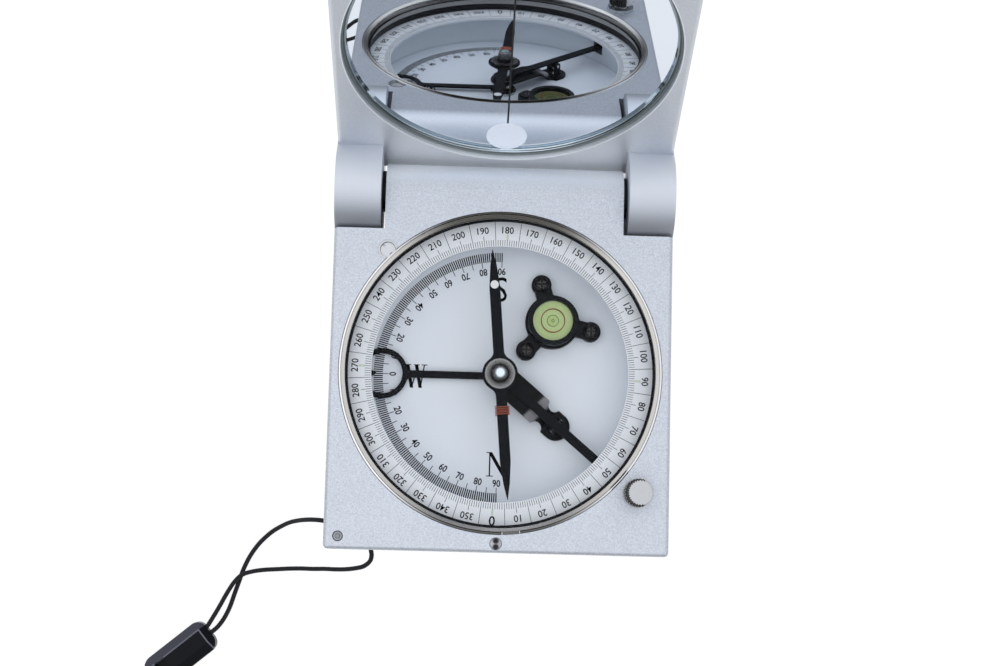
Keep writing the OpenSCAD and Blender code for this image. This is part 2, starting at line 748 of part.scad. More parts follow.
module needle_jewel() color("mistyrose") difference() {
    translate([0, 0, jewel_bottom]) cylinder(h = jewel_t, r = jewel_r);
    translate([0, 0, jewel_bottom - eps]) cylinder(h = dimple_h, r1 = dimple_r, r2 = 0);
}

// Winding as a ribbed sleeve round the needle's north arm
module balance_coil() color("sienna") on_needle() rotate(180) {
    wire = 0.3;
    ribs = 7;
    pitch = coil_len/ribs;
    x = needle_w/2 + slip;
    z = needle_t/2 + slip;
    translate([0, coil_pos - coil_len/2, (needle_top + needle_bottom)/2]) difference() {
        for (i = [0:ribs - 1]) translate([0, i*pitch + pitch/2, 0]) rotate([90, 0, 0])
            linear_extrude(pitch*(i % 2 == 0 ? 1 : 1.02), center = true)
                rounded([-x - wire, -z - wire + (i % 2)*0.04], [x + wire, z + wire - (i % 2)*0.04], 0.2);
        translate([-x, -pitch, -z]) cube([2*x, coil_len + 2*pitch, 2*z]);
    }
}

module level_plan(r) {
    translate(level_at) circle(r);
    for (p = ear_at) translate(p) circle(ear_r);
    for (p = ear_at) let (v = p - level_at) translate(level_at) rotate(atan2(v[1], v[0]) - 90) {
        translate([-1.4, 0]) square([2.8, norm(v)]);
        eye_web(r, 1.4, 1.4);
    }
}

module level_housing() color("black") difference() {
    union() {
        translate([0, 0, dial_top]) linear_extrude(level_flange_t) level_plan(level_r + 0.5);
        translate([level_at[0], level_at[1], dial_top]) cylinder(h = level_h, r = level_r);
    }
    translate([level_at[0], level_at[1], level_floor]) cylinder(h = level_h, r = level_bore_r);
    for (p = ear_at) translate([p[0], p[1], dial_top - overcut])
        cylinder(h = level_h, r = screw_shaft_r + slip);
}

module level_lens() color("lightcyan", 0.4) translate([level_at[0], level_at[1], lens_bottom])
    cylinder(h = lens_t, r = level_bore_r - slip);

module level_liquid() color("yellowgreen", 0.6) difference() {
    translate([level_at[0], level_at[1], level_floor + slip])
        cylinder(h = lens_bottom - level_floor - 2*slip, r = level_bore_r - slip);
    translate([level_at[0], level_at[1], lens_bottom - 0.6 - slip]) cylinder(h = 1, r = bubble_r + slip);
}

module level_bubble() color("honeydew", 0.5)
    translate([level_at[0], level_at[1], lens_bottom - 0.6]) cylinder(h = 0.6 - slip, r = bubble_r);

module level_screws() color("black") for (p = ear_at) translate([p[0], p[1], 0]) {
    z0 = dial_top + level_flange_t;
    translate([0, 0, dial_bottom + slip]) cylinder(h = z0 - dial_bottom, r = screw_shaft_r);
    difference() {
        translate([0, 0, z0]) intersection() {
            cylinder(h = screw_head_t, r = screw_head_r);
            translate([0, 0, screw_head_t - 2.4]) sphere(2.4);
        }
        for (a = [0, 90]) rotate(a) translate([-0.9, -0.2, z0 + screw_head_t - 0.5])
            cube([1.8, 0.4, overcut]);
    }
}

// Knurled button whose foot bears on the lever's end
module lock_button() color("silver") translate([button_at[0], button_at[1], 0]) {
    difference() {
        rotate_extrude() polygon([[0, cap_bottom], [button_r - 0.2, cap_bottom],
            [button_r, cap_bottom + 0.2], [button_r, cap_bottom + cap_h - 0.3],
            [button_r - 0.3, cap_bottom + cap_h], [0, cap_bottom + cap_h]]);
        for (i = [0:knurls - 1]) rotate(i*360/knurls) translate([button_r + 0.08, 0, cap_bottom - overcut])
            cylinder(h = cap_h + 2*overcut, r = 0.24);
    }
    translate([0, 0, button_foot]) cylinder(h = cap_bottom - button_foot + eps, r = stem_r);
    translate([0, 0, button_foot]) cylinder(h = button_foot_t, r = button_foot_r);
}

module button_bush() color("silver") translate([button_at[0], button_at[1], 0]) difference() {
    union() {
        annulus(button_foot + button_foot_t + 0.1, top + slip + eps, bush_out_r, stem_r + run);
        annulus(top + slip, top + bush_flange_t, button_r + 0.3, stem_r + run);
    }
    translate([0, 0, spring_floor]) cylinder(h = top, r = spring_hole_r);
}

module button_spring() color("silver") translate([button_at[0], button_at[1], 0]) {
    z0 = spring_floor + run + wire_r;
    z1 = cap_bottom - run - wire_r;
    steps = 12*spring_turns;
    tube([for (i = [0:steps]) [spring_r*cos(30*i), spring_r*sin(30*i), z0 + (z1 - z0)*i/steps]],
        wire_r, 6);
}

module hinge_pins() color("silver") for (s = [0, 1]) mirror([s, 0, 0])
    translate([pin_x0, hinge_y, hinge_z]) rotate([0, 90, 0])
        cylinder(h = pin_x1 - pin_x0, r = hinge_pin_r);

module hinge_washers() color("goldenrod") for (s = [0, 1]) mirror([s, 0, 0])
    translate([barrel_x + run, hinge_y, hinge_z]) rotate([0, 90, 0])
        annulus(0, washer_gap - 2*run, washer_r, hinge_pin_r + slip);

// Point where the outer line shared by two circles touches each of them
function touch(c, r0, r1) = let (turn = atan2(c[1], c[0]) + acos((r0 - r1)/norm(c)))
    [cos(turn), sin(turn)];

// Outline of a leg with the plate, in a and d
module leg_side() {
    c = [lid_rear_a + lid_rear_r, lid_back - lid_rear_r];
    n = touch(c, leg_r, lid_rear_r);
    circle(leg_r);
    translate(c) circle(lid_rear_r);
    polygon([[0, 0], (leg_r - tangent_sink)*n, c + (lid_rear_r - tangent_sink)*n, c]);
    translate([c[0], lid_face]) square([lid_rear_r + leg_r, lid_t]);
}

// Outline of the plate between the legs, with its round rear edge
module plate_side() {
    low = lid_back - lid_rear_r;
    translate([lid_centre_a, lid_face]) square([lid_end - edge_r - lid_centre_a, low - lid_face]);
    translate([lid_centre_a + lid_rear_r, lid_face])
        square([lid_end - edge_r - lid_centre_a - lid_rear_r, lid_t]);
    intersection() {
        translate([lid_centre_a + lid_rear_r, low]) circle(lid_rear_r);
        translate([lid_centre_a - overcut, low - overcut]) square(2*lid_rear_r);
    }
    translate([lid_end/2, lid_face + edge_r]) square([lid_end/2, lid_t - 2*edge_r]);
    for (d = [lid_face + edge_r, lid_back - edge_r]) translate([lid_end - edge_r, d]) circle(edge_r);
}

// Cutter that rounds a long side edge of the lid's face, from the legs to the front
module face_edge_cutter() {
    start = sqrt(leg_r*leg_r - lid_face*lid_face) + edge_r/2;
    translate([case_w/2 - edge_r, 0, lid_face]) along_y(-2*lid_end, -start) difference() {
        translate([0, -overcut]) square([edge_r + overcut, edge_r + overcut]);
        translate([0, edge_r]) circle(edge_r);
    }
}

module lid_frame() color("gainsboro") in_lid() difference() {
    intersection() {
        union() {
            along_x(-leg_x, leg_x) mirror([1, 0]) plate_side();
            for (s = [0, 1]) mirror([s, 0, 0]) along_x(leg_x, case_w/2) mirror([1, 0]) union() {
                leg_side();
                plate_side();
            }
        }
        translate([0, 0, -2*leg_r]) linear_extrude(4*lid_back)
            rounded([-case_w/2, -lid_end], [case_w/2, 2*leg_r], corner_r);
        along_y(-2*lid_end, 2*lid_back)
            rounded([-case_w/2, -2*leg_r], [case_w/2, lid_back], edge_r);
    }
    for (s = [0, 1]) mirror([s, 0, 0]) face_edge_cutter();
    for (s = [0, 1]) mirror([s, 0, 0]) translate([leg_x - overcut, 0, 0]) rotate([0, 90, 0])
        cylinder(h = leg_w + 2*overcut, r = hinge_pin_r + run);
    translate([0, -hinge_y, lid_face - overcut]) cylinder(h = recess_depth + overcut, r = bezel_r);
    translate([0, -sight_a, lid_face]) {
        cylinder(h = 2*lid_t, r = sight_bore_r);
        cylinder(h = recess_depth + sight_gap + sight_plug_t, r = sight_r + run);
    }
    translate([button_at[0], button_at[1] - hinge_y, lid_face - overcut])
        cylinder(h = pocket_d - lid_face + overcut, r = pocket_r);
}

// Plate glass with a ground bevel round its front face
module mirror_glass() color("lightblue") in_lid() translate([0, -hinge_y, 0])
    rotate_extrude() polygon([[0, mirror_d0], [mirror_r - mirror_bevel, mirror_d0],
        [mirror_r, mirror_d0 + 0.35], [mirror_r, mirror_d1], [0, mirror_d1]]);

module mirror_coating() color("slategray") in_lid() difference() {
    translate([0, -hinge_y, recess_floor - coating_t]) cylinder(h = coating_t, r = mirror_r);
    translate([0, -sight_a, lid_face]) cylinder(h = 2*lid_t, r = sight_r + 0.15);
}

module gasket_ring() color("black") in_lid() translate([0, -hinge_y, 0])
    annulus(mirror_d0, mirror_d1, mirror_r + slip + gasket_w, mirror_r + slip);

module sight_window() color("whitesmoke") in_lid()
    translate([0, -sight_a, recess_floor + sight_gap]) cylinder(h = sight_plug_t, r = sight_r);

module lanyard_strand_left() color("black") tube(left_route, cord_d/2, cord_sides);

module lanyard_strand_front() color("black") tube(front_route, cord_d/2, cord_sides);

module lanyard_bight() color("black") tube(bight_route, cord_d/2, cord_sides);

// Moulded clip with bevelled flanks, two cord sockets and a bar slot
module cord_clip() color("black") translate([clip_at[0], clip_at[1], 0]) rotate(clip_turn) {
    low = -clip_side;
    high = clip_w - clip_side;
    corner = 2.3;
    end_bevel = 1.4;
    bevel_w = 2;
    bevel_h = 2;
    foot = 0.5;
    difference() {
        intersection() {
            linear_extrude(clip_h) rounded([0, low], [clip_len, high], corner);
            along_y(low, high) polygon([[0, foot], [foot, 0], [clip_len - foot, 0],
                [clip_len, foot], [clip_len, clip_h - bevel_h], [clip_len - end_bevel, clip_h],
                [end_bevel, clip_h], [0, clip_h - bevel_h + 0.4]]);
            along_x(0, clip_len) polygon([[low, foot], [low + foot, 0], [high - foot, 0],
                [high, foot], [high, clip_h - bevel_h], [high - bevel_w, clip_h],
                [low + bevel_w, clip_h], [low, clip_h - bevel_h]]);
        }
        for (s = [-1, 1]) translate([-overcut, s*clip_sockets, clip_socket_z]) rotate([0, 90, 0])
            cylinder(h = overcut + 3, r = cord_d/2 + 0.15);
        translate([clip_len - 5, (low + high)/2 - 1.8, -overcut]) cube([2.4, 3.6, 2*clip_h]);
    }
}

case_body();
lanyard_pin();
front_pin();
dial_plate();
graduated_ring();
spacer_ring();
window_glass();
bezel_ring();
snap_ring();
declination_pinion();
pinion_bush();
pivot_post();
clinometer_pointer();
clinometer_bush();
retaining_clip();
lever_bracket();
fulcrum_pin();
bracket_screw();
lift_lever();
lift_ring();
needle();
needle_dot();
needle_cap();
needle_jewel();
balance_coil();
level_housing();
level_lens();
level_liquid();
level_bubble();
level_screws();
lock_button();
button_bush();
button_spring();
hinge_pins();
hinge_washers();
lid_frame();
mirror_glass();
mirror_coating();
gasket_ring();
sight_window();
lanyard_strand_left();
lanyard_strand_front();
lanyard_bight();
cord_clip();
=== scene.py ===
# %% [markdown]
# A pocket geological compass with its lid open. The machined pieces come from the CAD model and
# get their finishes here. What is printed, wound, braided or engraved is modelled in this file,
# because that kind of detail is cheaper to change here than in the solids.

# %% Load the compass
import math
import bmesh
import bpy
from mathutils import Matrix, Vector
from mathutils.geometry import interpolate_bezier


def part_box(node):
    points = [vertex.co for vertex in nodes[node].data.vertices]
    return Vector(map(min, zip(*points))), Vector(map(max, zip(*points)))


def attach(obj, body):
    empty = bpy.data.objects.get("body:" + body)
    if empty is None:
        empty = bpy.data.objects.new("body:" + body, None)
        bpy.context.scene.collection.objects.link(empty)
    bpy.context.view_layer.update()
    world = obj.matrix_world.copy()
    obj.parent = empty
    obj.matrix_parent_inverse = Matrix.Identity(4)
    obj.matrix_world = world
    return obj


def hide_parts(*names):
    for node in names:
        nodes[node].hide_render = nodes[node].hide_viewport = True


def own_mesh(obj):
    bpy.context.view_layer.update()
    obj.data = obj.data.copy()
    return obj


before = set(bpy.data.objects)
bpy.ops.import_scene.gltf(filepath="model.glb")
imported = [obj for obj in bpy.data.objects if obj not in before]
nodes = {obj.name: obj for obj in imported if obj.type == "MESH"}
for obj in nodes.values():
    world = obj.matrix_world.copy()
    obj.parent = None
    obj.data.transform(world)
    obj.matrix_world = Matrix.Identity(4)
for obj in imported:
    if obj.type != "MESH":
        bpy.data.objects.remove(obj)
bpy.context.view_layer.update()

MM = 0.001

# %% [markdown]
# The photograph was taken from almost straight above, a little in front of the dial. The camera's
# place and its three turns come from fitting the case's corners and the window's rim. A Track To
# constraint would aim it with less trouble, but it couldn't hold the slight roll.

# %% Camera
camera_data = bpy.data.cameras.new("camera")
camera_data.lens = 60.58
camera_data.sensor_width = 36
camera_data.clip_start = 0.01
camera = bpy.data.objects.new("camera", camera_data)
camera.location = Vector((-8.767, -33.756, 377.056))*MM
camera.rotation_euler = [math.radians(turn) for turn in (6.6708, -1.5248, 1.479)]
bpy.context.collection.objects.link(camera)
bpy.context.scene.camera = camera
print("the camera is", round(camera.location.length/MM), "mm from the dial's foot")

# %% [markdown]
# Every finish is built from the same few parts, so two small classes save a lot of typing.
# A Level wraps one socket and lets it be used in ordinary sums: each sum adds a Math node.
# A Finish is one material with its Principled shader, and one method that adds any other node.

# %% Sums of shader sockets
class Level:
    """A shader socket that takes part in sums, products and comparisons."""

    def __init__(self, tree, socket):
        self.tree = tree
        self.socket = socket

    def sum(self, operation, *values):
        """Adds a Math node that works on these values."""
        made = self.tree.nodes.new("ShaderNodeMath")
        made.operation = operation
        for socket, value in zip(made.inputs, values):
            feed(self.tree, value, socket)
        return Level(self.tree, made.outputs[0])

    def __add__(self, other):
        return self.sum("ADD", self, other)

    def __radd__(self, other):
        return self.sum("ADD", other, self)

    def __sub__(self, other):
        return self.sum("SUBTRACT", self, other)

    def __rsub__(self, other):
        return self.sum("SUBTRACT", other, self)

    def __mul__(self, other):
        return self.sum("MULTIPLY", self, other)

    def __rmul__(self, other):
        return self.sum("MULTIPLY", other, self)

    def __truediv__(self, other):
        return self.sum("DIVIDE", self, other)

    def __pow__(self, other):
        return self.sum("POWER", self, other)

    def __lt__(self, other):
        return self.sum("LESS_THAN", self, other)

    def __gt__(self, other):
        return self.sum("GREATER_THAN", self, other)

    def __abs__(self):
        return self.sum("ABSOLUTE", self)

    def sine(self):
        return self.sum("SINE", self)


def feed(tree, value, socket):
    """Links a Level to a socket, or sets the socket to a plain value."""
    if isinstance(value, Level):
        tree.links.new(value.socket, socket)
    else:
        socket.default_value = value


# %% Finishes
class Finish:
    """One material, made of a Principled shader and what feeds it."""

    def __init__(self, name, **sockets):
        self.material = bpy.data.materials.new(name)
        self.material.use_nodes = True
        self.tree = self.material.node_tree
        self.shader = self.tree.nodes["Principled BSDF"]
        self.set(**sockets)

    def set(self, **sockets):
        """Gives the shader's sockets values or links; a name's underscores stand for spaces."""
        for name, value in sockets.items():
            socket = self.shader.inputs[name.replace("_", " ")]
            if socket.type == "RGBA" and not isinstance(value, Level):
                value = (*value, 1)
            feed(self.tree, value, socket)

    def shader_input(self, name):
        """What already feeds one of the shader's sockets."""
        return Level(self.tree, self.shader.inputs[name].links[0].from_socket)

    def node(self, kind, settings=None, sockets=None, out=0):
        """Adds a node: its settings first, then its sockets' values and links."""
        made = self.tree.nodes.new("ShaderNode" + kind)
        for name, value in (settings or {}).items():
            if name == "stops":
                ramp = made.color_ramp
                for _ in value[2:]:
                    ramp.elements.new(0.5)
                for element, (place, shade) in zip(ramp.elements, value):
                    element.position = place
                    element.color = (*shade, 1)
            else:
                setattr(made, name, value)
        for name, value in (sockets or {}).items():
            feed(self.tree, value, made.inputs[name])
        return Level(self.tree, made.outputs[out])

    def place(self, centre=(0, 0, 0), turn=(0, 0, 0)):
        """Object coordinates, from a centre, turned."""
        where = self.node("TexCoord", out=3)
        if any(centre):
            where = self.node("VectorMath", {"operation": "SUBTRACT"}, {0: where, 1: centre})
        if any(turn):
            where = self.node("Mapping", sockets={"Vector": where, "Rotation": turn})
        return where

    def axes(self, where):
        """A vector's three parts."""
        split = self.node("SeparateXYZ", sockets={0: where})
        return [Level(self.tree, out) for out in split.socket.node.outputs]

    def from_axis(self, x, y):
        """Distance from an upright axis."""
        dx, dy, _ = self.axes(self.place((x, y, 0)))
        return (dx*dx + dy*dy)**0.5

    def from_point(self, point):
        """Distance from a point."""
        return self.node("VectorMath", {"operation": "LENGTH"}, {0: self.place(point)}, out=1)

    def noise(self, size, detail=2):
        """Noise from 0 to 1 with features about size metres across."""
        return self.node("TexNoise", sockets={
            "Vector": self.place(), "Scale": 1/size, "Detail": detail})

    def between(self, low, high, share):
        """Maps a share from 0 to 1 onto low to high."""
        return self.node("MapRange", sockets={0: share, 3: low, 4: high})

    def step(self, value, start, end, low=0.0, high=1.0):
        """Goes softly from low to high as a value goes from start to end."""
        return self.node("MapRange", {"interpolation_type": "SMOOTHSTEP"},
                         {0: value, 1: start, 2: end, 3: low, 4: high})

    def blend(self, first, second, share):
        """Mixes two colours."""
        made = self.tree.nodes.new("ShaderNodeMix")
        made.data_type = "RGBA"
        feed(self.tree, share, made.inputs[0])
        for socket, value in ((made.inputs[6], first), (made.inputs[7], second)):
            feed(self.tree, value if isinstance(value, Level) else (*value, 1), socket)
        return Level(self.tree, made.outputs[2])

    def relief(self, height, depth, strength=1.0):
        """Bump of a depth in metres."""
        self.set(Normal=self.node("Bump", sockets={
            "Strength": strength, "Distance": depth, "Height": height}))


def dress(finish, *names):
    """Gives CAD nodes a finish."""
    for name in names:
        for slot in nodes[name].material_slots:
            slot.material = finish.material
    print(finish.material.name, "on", ", ".join(names))


# %% [markdown]
# The lanyard is a thin braided cord. One strand leaves the left side of the case, the other the
# front, they cross on the table and both end in a moulded clip. A cord can be simulated, but this
# one is short and its course can be seen in full, so its points are listed and one smooth curve goes
# through them. The braid is a pattern on the curve's own length and girth.

# %% Braided cord finish
CORD_D = 1.0*MM
BRAID_L = 45*MM
BRAID_PITCH = 0.9*MM
BRAID_STRANDS = 4
braid = Finish("braided cord", Roughness=0.62, Sheen_Weight=0.08, Sheen_Roughness=0.4,
               Specular_IOR_Level=0.2)
u, v, _ = braid.axes(braid.node("UVMap"))
# Two sets of waves, each wound the other way round, cross as the strands do
along = u*(BRAID_L/BRAID_PITCH*2*math.pi)
around = v*(BRAID_STRANDS*2*math.pi)
weave = (along + around).sine()*(along - around).sine()*0.5 + 0.5
braid.set(Base_Color=braid.blend((0.004, 0.004, 0.005), (0.018, 0.019, 0.022), weave))
braid.relief(weave, 0.06*MM, 0.8)
print("the braid repeats every", round(BRAID_PITCH/MM, 1), "mm")

# %% Cord helpers
def smooth_path(route, steps=6):
    """Points on a smooth curve through a route in millimetres, in metres."""
    points = [Vector(p)*MM for p in route]
    last = len(points) - 1
    slopes = [(points[min(i + 1, last)] - points[max(i - 1, 0)])/6 for i in range(last + 1)]
    slopes[0] *= 2
    slopes[-1] *= 2
    path = [points[0]]
    for i in range(last):
        path += interpolate_bezier(points[i], points[i] + slopes[i], points[i + 1] - slopes[i + 1],
                                   points[i + 1], steps + 1)[1:]
    return path


def drawn_mesh(line):
    """The mesh that a curve draws."""
    drawn = bpy.data.objects.new(line.name, line)
    bpy.context.collection.objects.link(drawn)
    bpy.context.view_layer.update()
    seen = drawn.evaluated_get(bpy.context.evaluated_depsgraph_get())
    mesh = bpy.data.meshes.new_from_object(seen)
    bpy.data.objects.remove(drawn)
    return mesh


def finished(name, mesh, finish, smooth=math.radians(35)):
    """Makes an object of a mesh: smooth but for its sharp edges, with its finish."""
    mesh.name = name
    mesh.materials.clear()
    mesh.materials.append(finish.material)
    mesh.shade_smooth()
    mesh.set_sharp_from_angle(angle=smooth)
    made = bpy.data.objects.new(name, mesh)
    bpy.context.collection.objects.link(made)
    return made


def tube(name, path, radius, finish):
    """A round tube along a path, as a mesh with a UV map along and around it."""
    line = bpy.data.curves.new(name, "CURVE")
    line.dimensions = "3D"
    line.bevel_depth = radius
    line.bevel_resolution = 3
    line.use_fill_caps = True
    spline = line.splines.new("POLY")
    spline.points.add(len(path) - 1)
    for point, place in zip(spline.points, path):
        point.co = (*place, 1)
    return finished(name, drawn_mesh(line), finish)


def fit(made, body, slot, *replaced):
    """Says what a piece rides on and what it replaces; its finish slot is not used."""
    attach(made, body)
    if replaced:
        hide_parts(*replaced)
    print(made.name, "rides on", body, "with", len(made.data.polygons), "faces")
    return made


# %% Cords
left_route = [
    (-36.5, -32.6, 12), (-38.5, -32.4, 11.4), (-40.7, -32.4, 9.6), (-42.8, -32.6, 7.4),
    (-45, -33.1, 5.3), (-47, -34, 3.5), (-48.9, -35.1, 2), (-50.6, -36.5, 1), (-52.2, -38.2, 0.6),
    (-53.8, -40.6, 0.5), (-55.1, -43.4, 0.5), (-56, -46.2, 0.5), (-56.9, -49, 0.5),
    (-57.8, -51.9, 0.6), (-58.9, -54.4, 1.2), (-60.1, -56.2, 2), (-61.42, -57.4, 2.3),
    (-62.6, -58.4, 2.3)]
front_route = [
    (-26.7, -38.4, 12), (-26.5, -39.7, 11.8), (-26.9, -41, 11), (-28.3, -42.1, 9.7),
    (-30.2, -42.6, 8.2), (-32.4, -42.9, 6.6), (-34.7, -43, 5), (-37.2, -43, 3.5),
    (-39.7, -43.1, 2.3), (-42.3, -43.1, 1.4), (-45, -43.2, 0.9), (-47.8, -43.4, 0.8),
    (-50.5, -43.6, 1), (-53, -44, 1.5), (-55.3, -44.8, 1.75), (-57, -46.5, 1.6),
    (-58.5, -48.9, 1.2), (-59.8, -51.4, 1.1), (-61.1, -53.9, 1.6), (-62.4, -56.2, 2.3),
    (-63.5, -57.2, 2.3)]
# The bight round the pin inside the case runs from the one strand's start to the other's
bight_route = [
    (-36.5, -32.6, 12), (-34.9, -33, 12), (-32.5, -34.1, 12), (-30.2, -35.4, 12),
    (-28.3, -36.5, 12), (-27.1, -37.4, 12), (-26.7, -38.4, 12)]

for side, route in (("left", left_route), ("front", front_route)):
    path = smooth_path(route)
    length = sum((b - a).length for a, b in zip(path, path[1:]))
    strand = tube("cord_strand_" + side, path, CORD_D/2, braid)
    fit(strand, "case", "cord_black", "lanyard_strand_" + side)
    print(side, "strand", round(length/MM, 1), "mm")
bight = tube("cord_bight", smooth_path(bight_route), CORD_D/2, braid)
fit(bight, "case", "cord_black", "lanyard_bight")

# %% [markdown]
# The case and lid are aluminium, blasted with fine beads and anodised clear. The real surface is
# thousands of tiny dents that glitter. A bump on such fine noise gives that glitter, and a little
# change in lightness keeps it when the dents are smaller than a pixel.

# %% Satin aluminium
BEAD = 0.30*MM


def blasted(name, dark, light):
    """Metal whose grain changes its lightness, its roughness and its relief."""
    finish = Finish(name, Metallic=1.0)
    grain = finish.noise(BEAD, 3)
    finish.set(Base_Color=finish.blend(dark, light, finish.between(-0.5, 1.4, grain)*0.85
                                       + finish.noise(9*MM)*0.15),
               Roughness=finish.between(0.46, 0.60, grain))
    finish.relief(grain, BEAD/10, 0.6)
    return finish


# In the dial's well the case is painted, so it isn't metallic there. Its barrel at the hinge gets a
# painted highlight
WELL_R, WELL_FLOOR = 32*MM, 6*MM
BARREL_FROM, BARREL_FULL = 39*MM, 42.5*MM
case_satin = blasted("satin aluminium", (0.45, 0.475, 0.515), (0.75, 0.775, 0.825))
_, back, up = case_satin.axes(case_satin.place())
well = (case_satin.from_axis(0, 0) < WELL_R)*(up > WELL_FLOOR)
barrel_highlight = case_satin.step(back, BARREL_FROM, BARREL_FULL, 0.0, 0.6)
metal_with_painted_light = case_satin.blend(case_satin.shader_input("Base Color"), (0.95, 0.97, 1.0), barrel_highlight)
case_satin.set(Base_Color=case_satin.blend(metal_with_painted_light, (0.80, 0.84, 0.88), well), Metallic=1 - well)
dress(case_satin, "case_body")

# %% [markdown]
# The lid is the same metal, with lighter colours than the case's as painted light. Towards the hinge
# its face gets more painted light between the legs, and the legs' round ends get painted shading,
# lit at the lid and shaded towards the case. Both follow the place on the lid, so they could be
# painted by hand, but two soft steps along an axis say the same.

# %% Lid's aluminium
HINGE_Y, HINGE_Z = 39.4*MM, 14*MM
FOOT_LOW, FOOT_TOP = 20*MM, 48*MM
BETWEEN_LEGS, AT_LEGS = 22*MM, 34*MM
LEG_R, LEG_INSIDE, LEG_MARGIN = 10.45*MM, 26.5*MM, 0.1*MM
LEG_FRONT, LEG_BACK = 31*MM, 44*MM
# Lighter colours than the case's: painted light on the whole lid
lid_satin = blasted("satin aluminium of the lid", (0.60, 0.63, 0.675), (0.74, 0.765, 0.81))
across, back, up = lid_satin.axes(lid_satin.place())
# Painted light on the lid's face towards the hinge, between the legs
foot_light = lid_satin.step(up, FOOT_LOW, FOOT_TOP, 0.5, 0.0)
inward = lid_satin.step(abs(across), BETWEEN_LEGS, AT_LEGS, 1.0, 0.0)
metal_with_painted_light = lid_satin.blend(lid_satin.shader_input("Base Color"), (0.99, 0.99, 0.98), foot_light*inward)
behind, above = back - HINGE_Y, up - HINGE_Z
from_hinge = (behind*behind + above*above)**0.5
on_leg = (from_hinge < LEG_R + LEG_MARGIN)*(abs(across) > LEG_INSIDE)
# Painted shading on the legs' round ends: lit towards the lid, shaded towards the case
leg_lit_share = lid_satin.step(back, LEG_FRONT, LEG_BACK)
painted_leg_shading = lid_satin.blend((0.47, 0.49, 0.53), (0.73, 0.755, 0.80), leg_lit_share)
lid_satin.set(Base_Color=lid_satin.blend(metal_with_painted_light, painted_leg_shading, on_leg))
dress(lid_satin, "lid_frame")

# %% [markdown]
# The small turned pieces are nickel-plated brass and steel. Plated metal is bright, with faint
# marks left by the lathe. They are too fine to be drawn one by one, so a shallow noise, which only
# bends the reflections, stands for them.

# %% Turned and plated metals
def plated(name, colour, low, high, marks=0.05*MM, depth=0.004*MM):
    """Bright metal with a smeared roughness from low to high and fine tool marks."""
    finish = Finish(name, Metallic=1.0)
    smear = finish.noise(0.9*MM, 3)
    finish.set(Base_Color=finish.blend([c*0.86 for c in colour], colour, smear),
               Roughness=finish.between(low, high, smear))
    finish.relief(finish.noise(marks), depth, 0.35)
    return finish


nickel = plated("bright nickel", (0.84, 0.84, 0.85), 0.08, 0.2, 0.6*MM, 0.002*MM)
steel = plated("turned steel", (0.55, 0.56, 0.58), 0.18, 0.34)
adjuster_nickel = plated("pale nickel", (0.62, 0.62, 0.64), 0.3, 0.45)
bronze = plated("bush bronze", (0.62, 0.42, 0.22), 0.3, 0.45)
dress(nickel, "retaining_clip")
dress(bronze, "clinometer_bush")
dress(steel, "hinge_pins", "pivot_post", "fulcrum_pin", "lift_ring",
      "bracket_screw", "pinion_bush", "button_bush", "button_spring")
dress(adjuster_nickel, "declination_pinion")

# %% [markdown]
# A sloping band and a sprung ring rim the window. A lathe-turned ring mirrors its surroundings in
# long streaks: here it is dark at its front and rear and bright at both sides. The studio is plainer
# than a room, so the streaks are put into the metal's own colour, by place round the dial.

# %% Window's rims
def turned_rim(name, front, rear, sides):
    """Ring metal with painted reflections: a colour at its front, one at its rear and one at both
    sides.
    """
    finish = Finish(name, Metallic=1.0)
    x, y, _ = finish.axes(finish.place())
    ends = finish.blend(front, rear, y > 0)
    share = finish.step(abs(x)/finish.from_axis(0, 0), 0.3, 0.8)
    finish.set(Base_Color=finish.blend(ends, sides, share),
               Roughness=finish.between(0.12, 0.22, finish.noise(0.8*MM)))
    return finish


wire_nickel = turned_rim("sprung ring nickel",
                         (0.13, 0.125, 0.12), (0.08, 0.075, 0.065), (0.84, 0.83, 0.82))
band_nickel = turned_rim("sloping band nickel",
                         (0.36, 0.34, 0.32), (0.14, 0.13, 0.115), (0.72, 0.69, 0.64))
dress(wire_nickel, "snap_ring")
dress(band_nickel, "bezel_ring")

# %% [markdown]
# The needle's cap is turned with a hollow flange round a dome. Its light and shade are painted into
# its colour in rings by distance from the needle's axis: a painted reflection runs from dark grey to
# light across the flange, painted shade marks its very edge and the groove that parts it from the
# dome, and a painted highlight shines in the dome's middle.

# %% Needle cap
CAP_R = 3.3*MM
cap_metal = Finish("turned cap", Metallic=1.0)
# Painted highlight on the dome, painted shade in the groove and at the edge, painted reflection on
# the flange
cap_metal.set(
    Base_Color=cap_metal.node("ValToRGB", {"stops": [
        (0.0, (0.85, 0.95, 1.0)), (0.24, (0.78, 0.88, 0.93)), (0.34, (0.14, 0.15, 0.15)),
        (0.42, (0.32, 0.32, 0.32)), (0.50, (0.20, 0.20, 0.20)), (0.54, (0.02, 0.02, 0.02)),
        (0.61, (0.03, 0.03, 0.03)), (0.68, (0.09, 0.09, 0.088)), (0.86, (0.20, 0.20, 0.195)),
        (0.95, (0.30, 0.30, 0.295)), (1.0, (0.10, 0.10, 0.10))]},
        {0: cap_metal.from_axis(0, 0)/CAP_R}),
    Roughness=cap_metal.between(0.22, 0.34, cap_metal.noise(0.8*MM)))
dress(cap_metal, "needle_cap")

# %% [markdown]
# The two pins in the top face and the lock button are small, and what shows at this size is how
# light and dark lie on them, so that is painted into their colours: painted shade above and below a
# painted highlight in a dimple, a sunk pin in painted rings of light and shade with a dark edge, and
# painted shade on the knurled rim's side towards the window.

# %% Pins
def middle_of(name):
    """A node's middle seen from above, and its radius."""
    low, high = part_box(name)
    return (low.x + high.x)/2, (low.y + high.y)/2, (high.x - low.x)/2


pin_x, pin_y, pin_r = middle_of("front_pin")
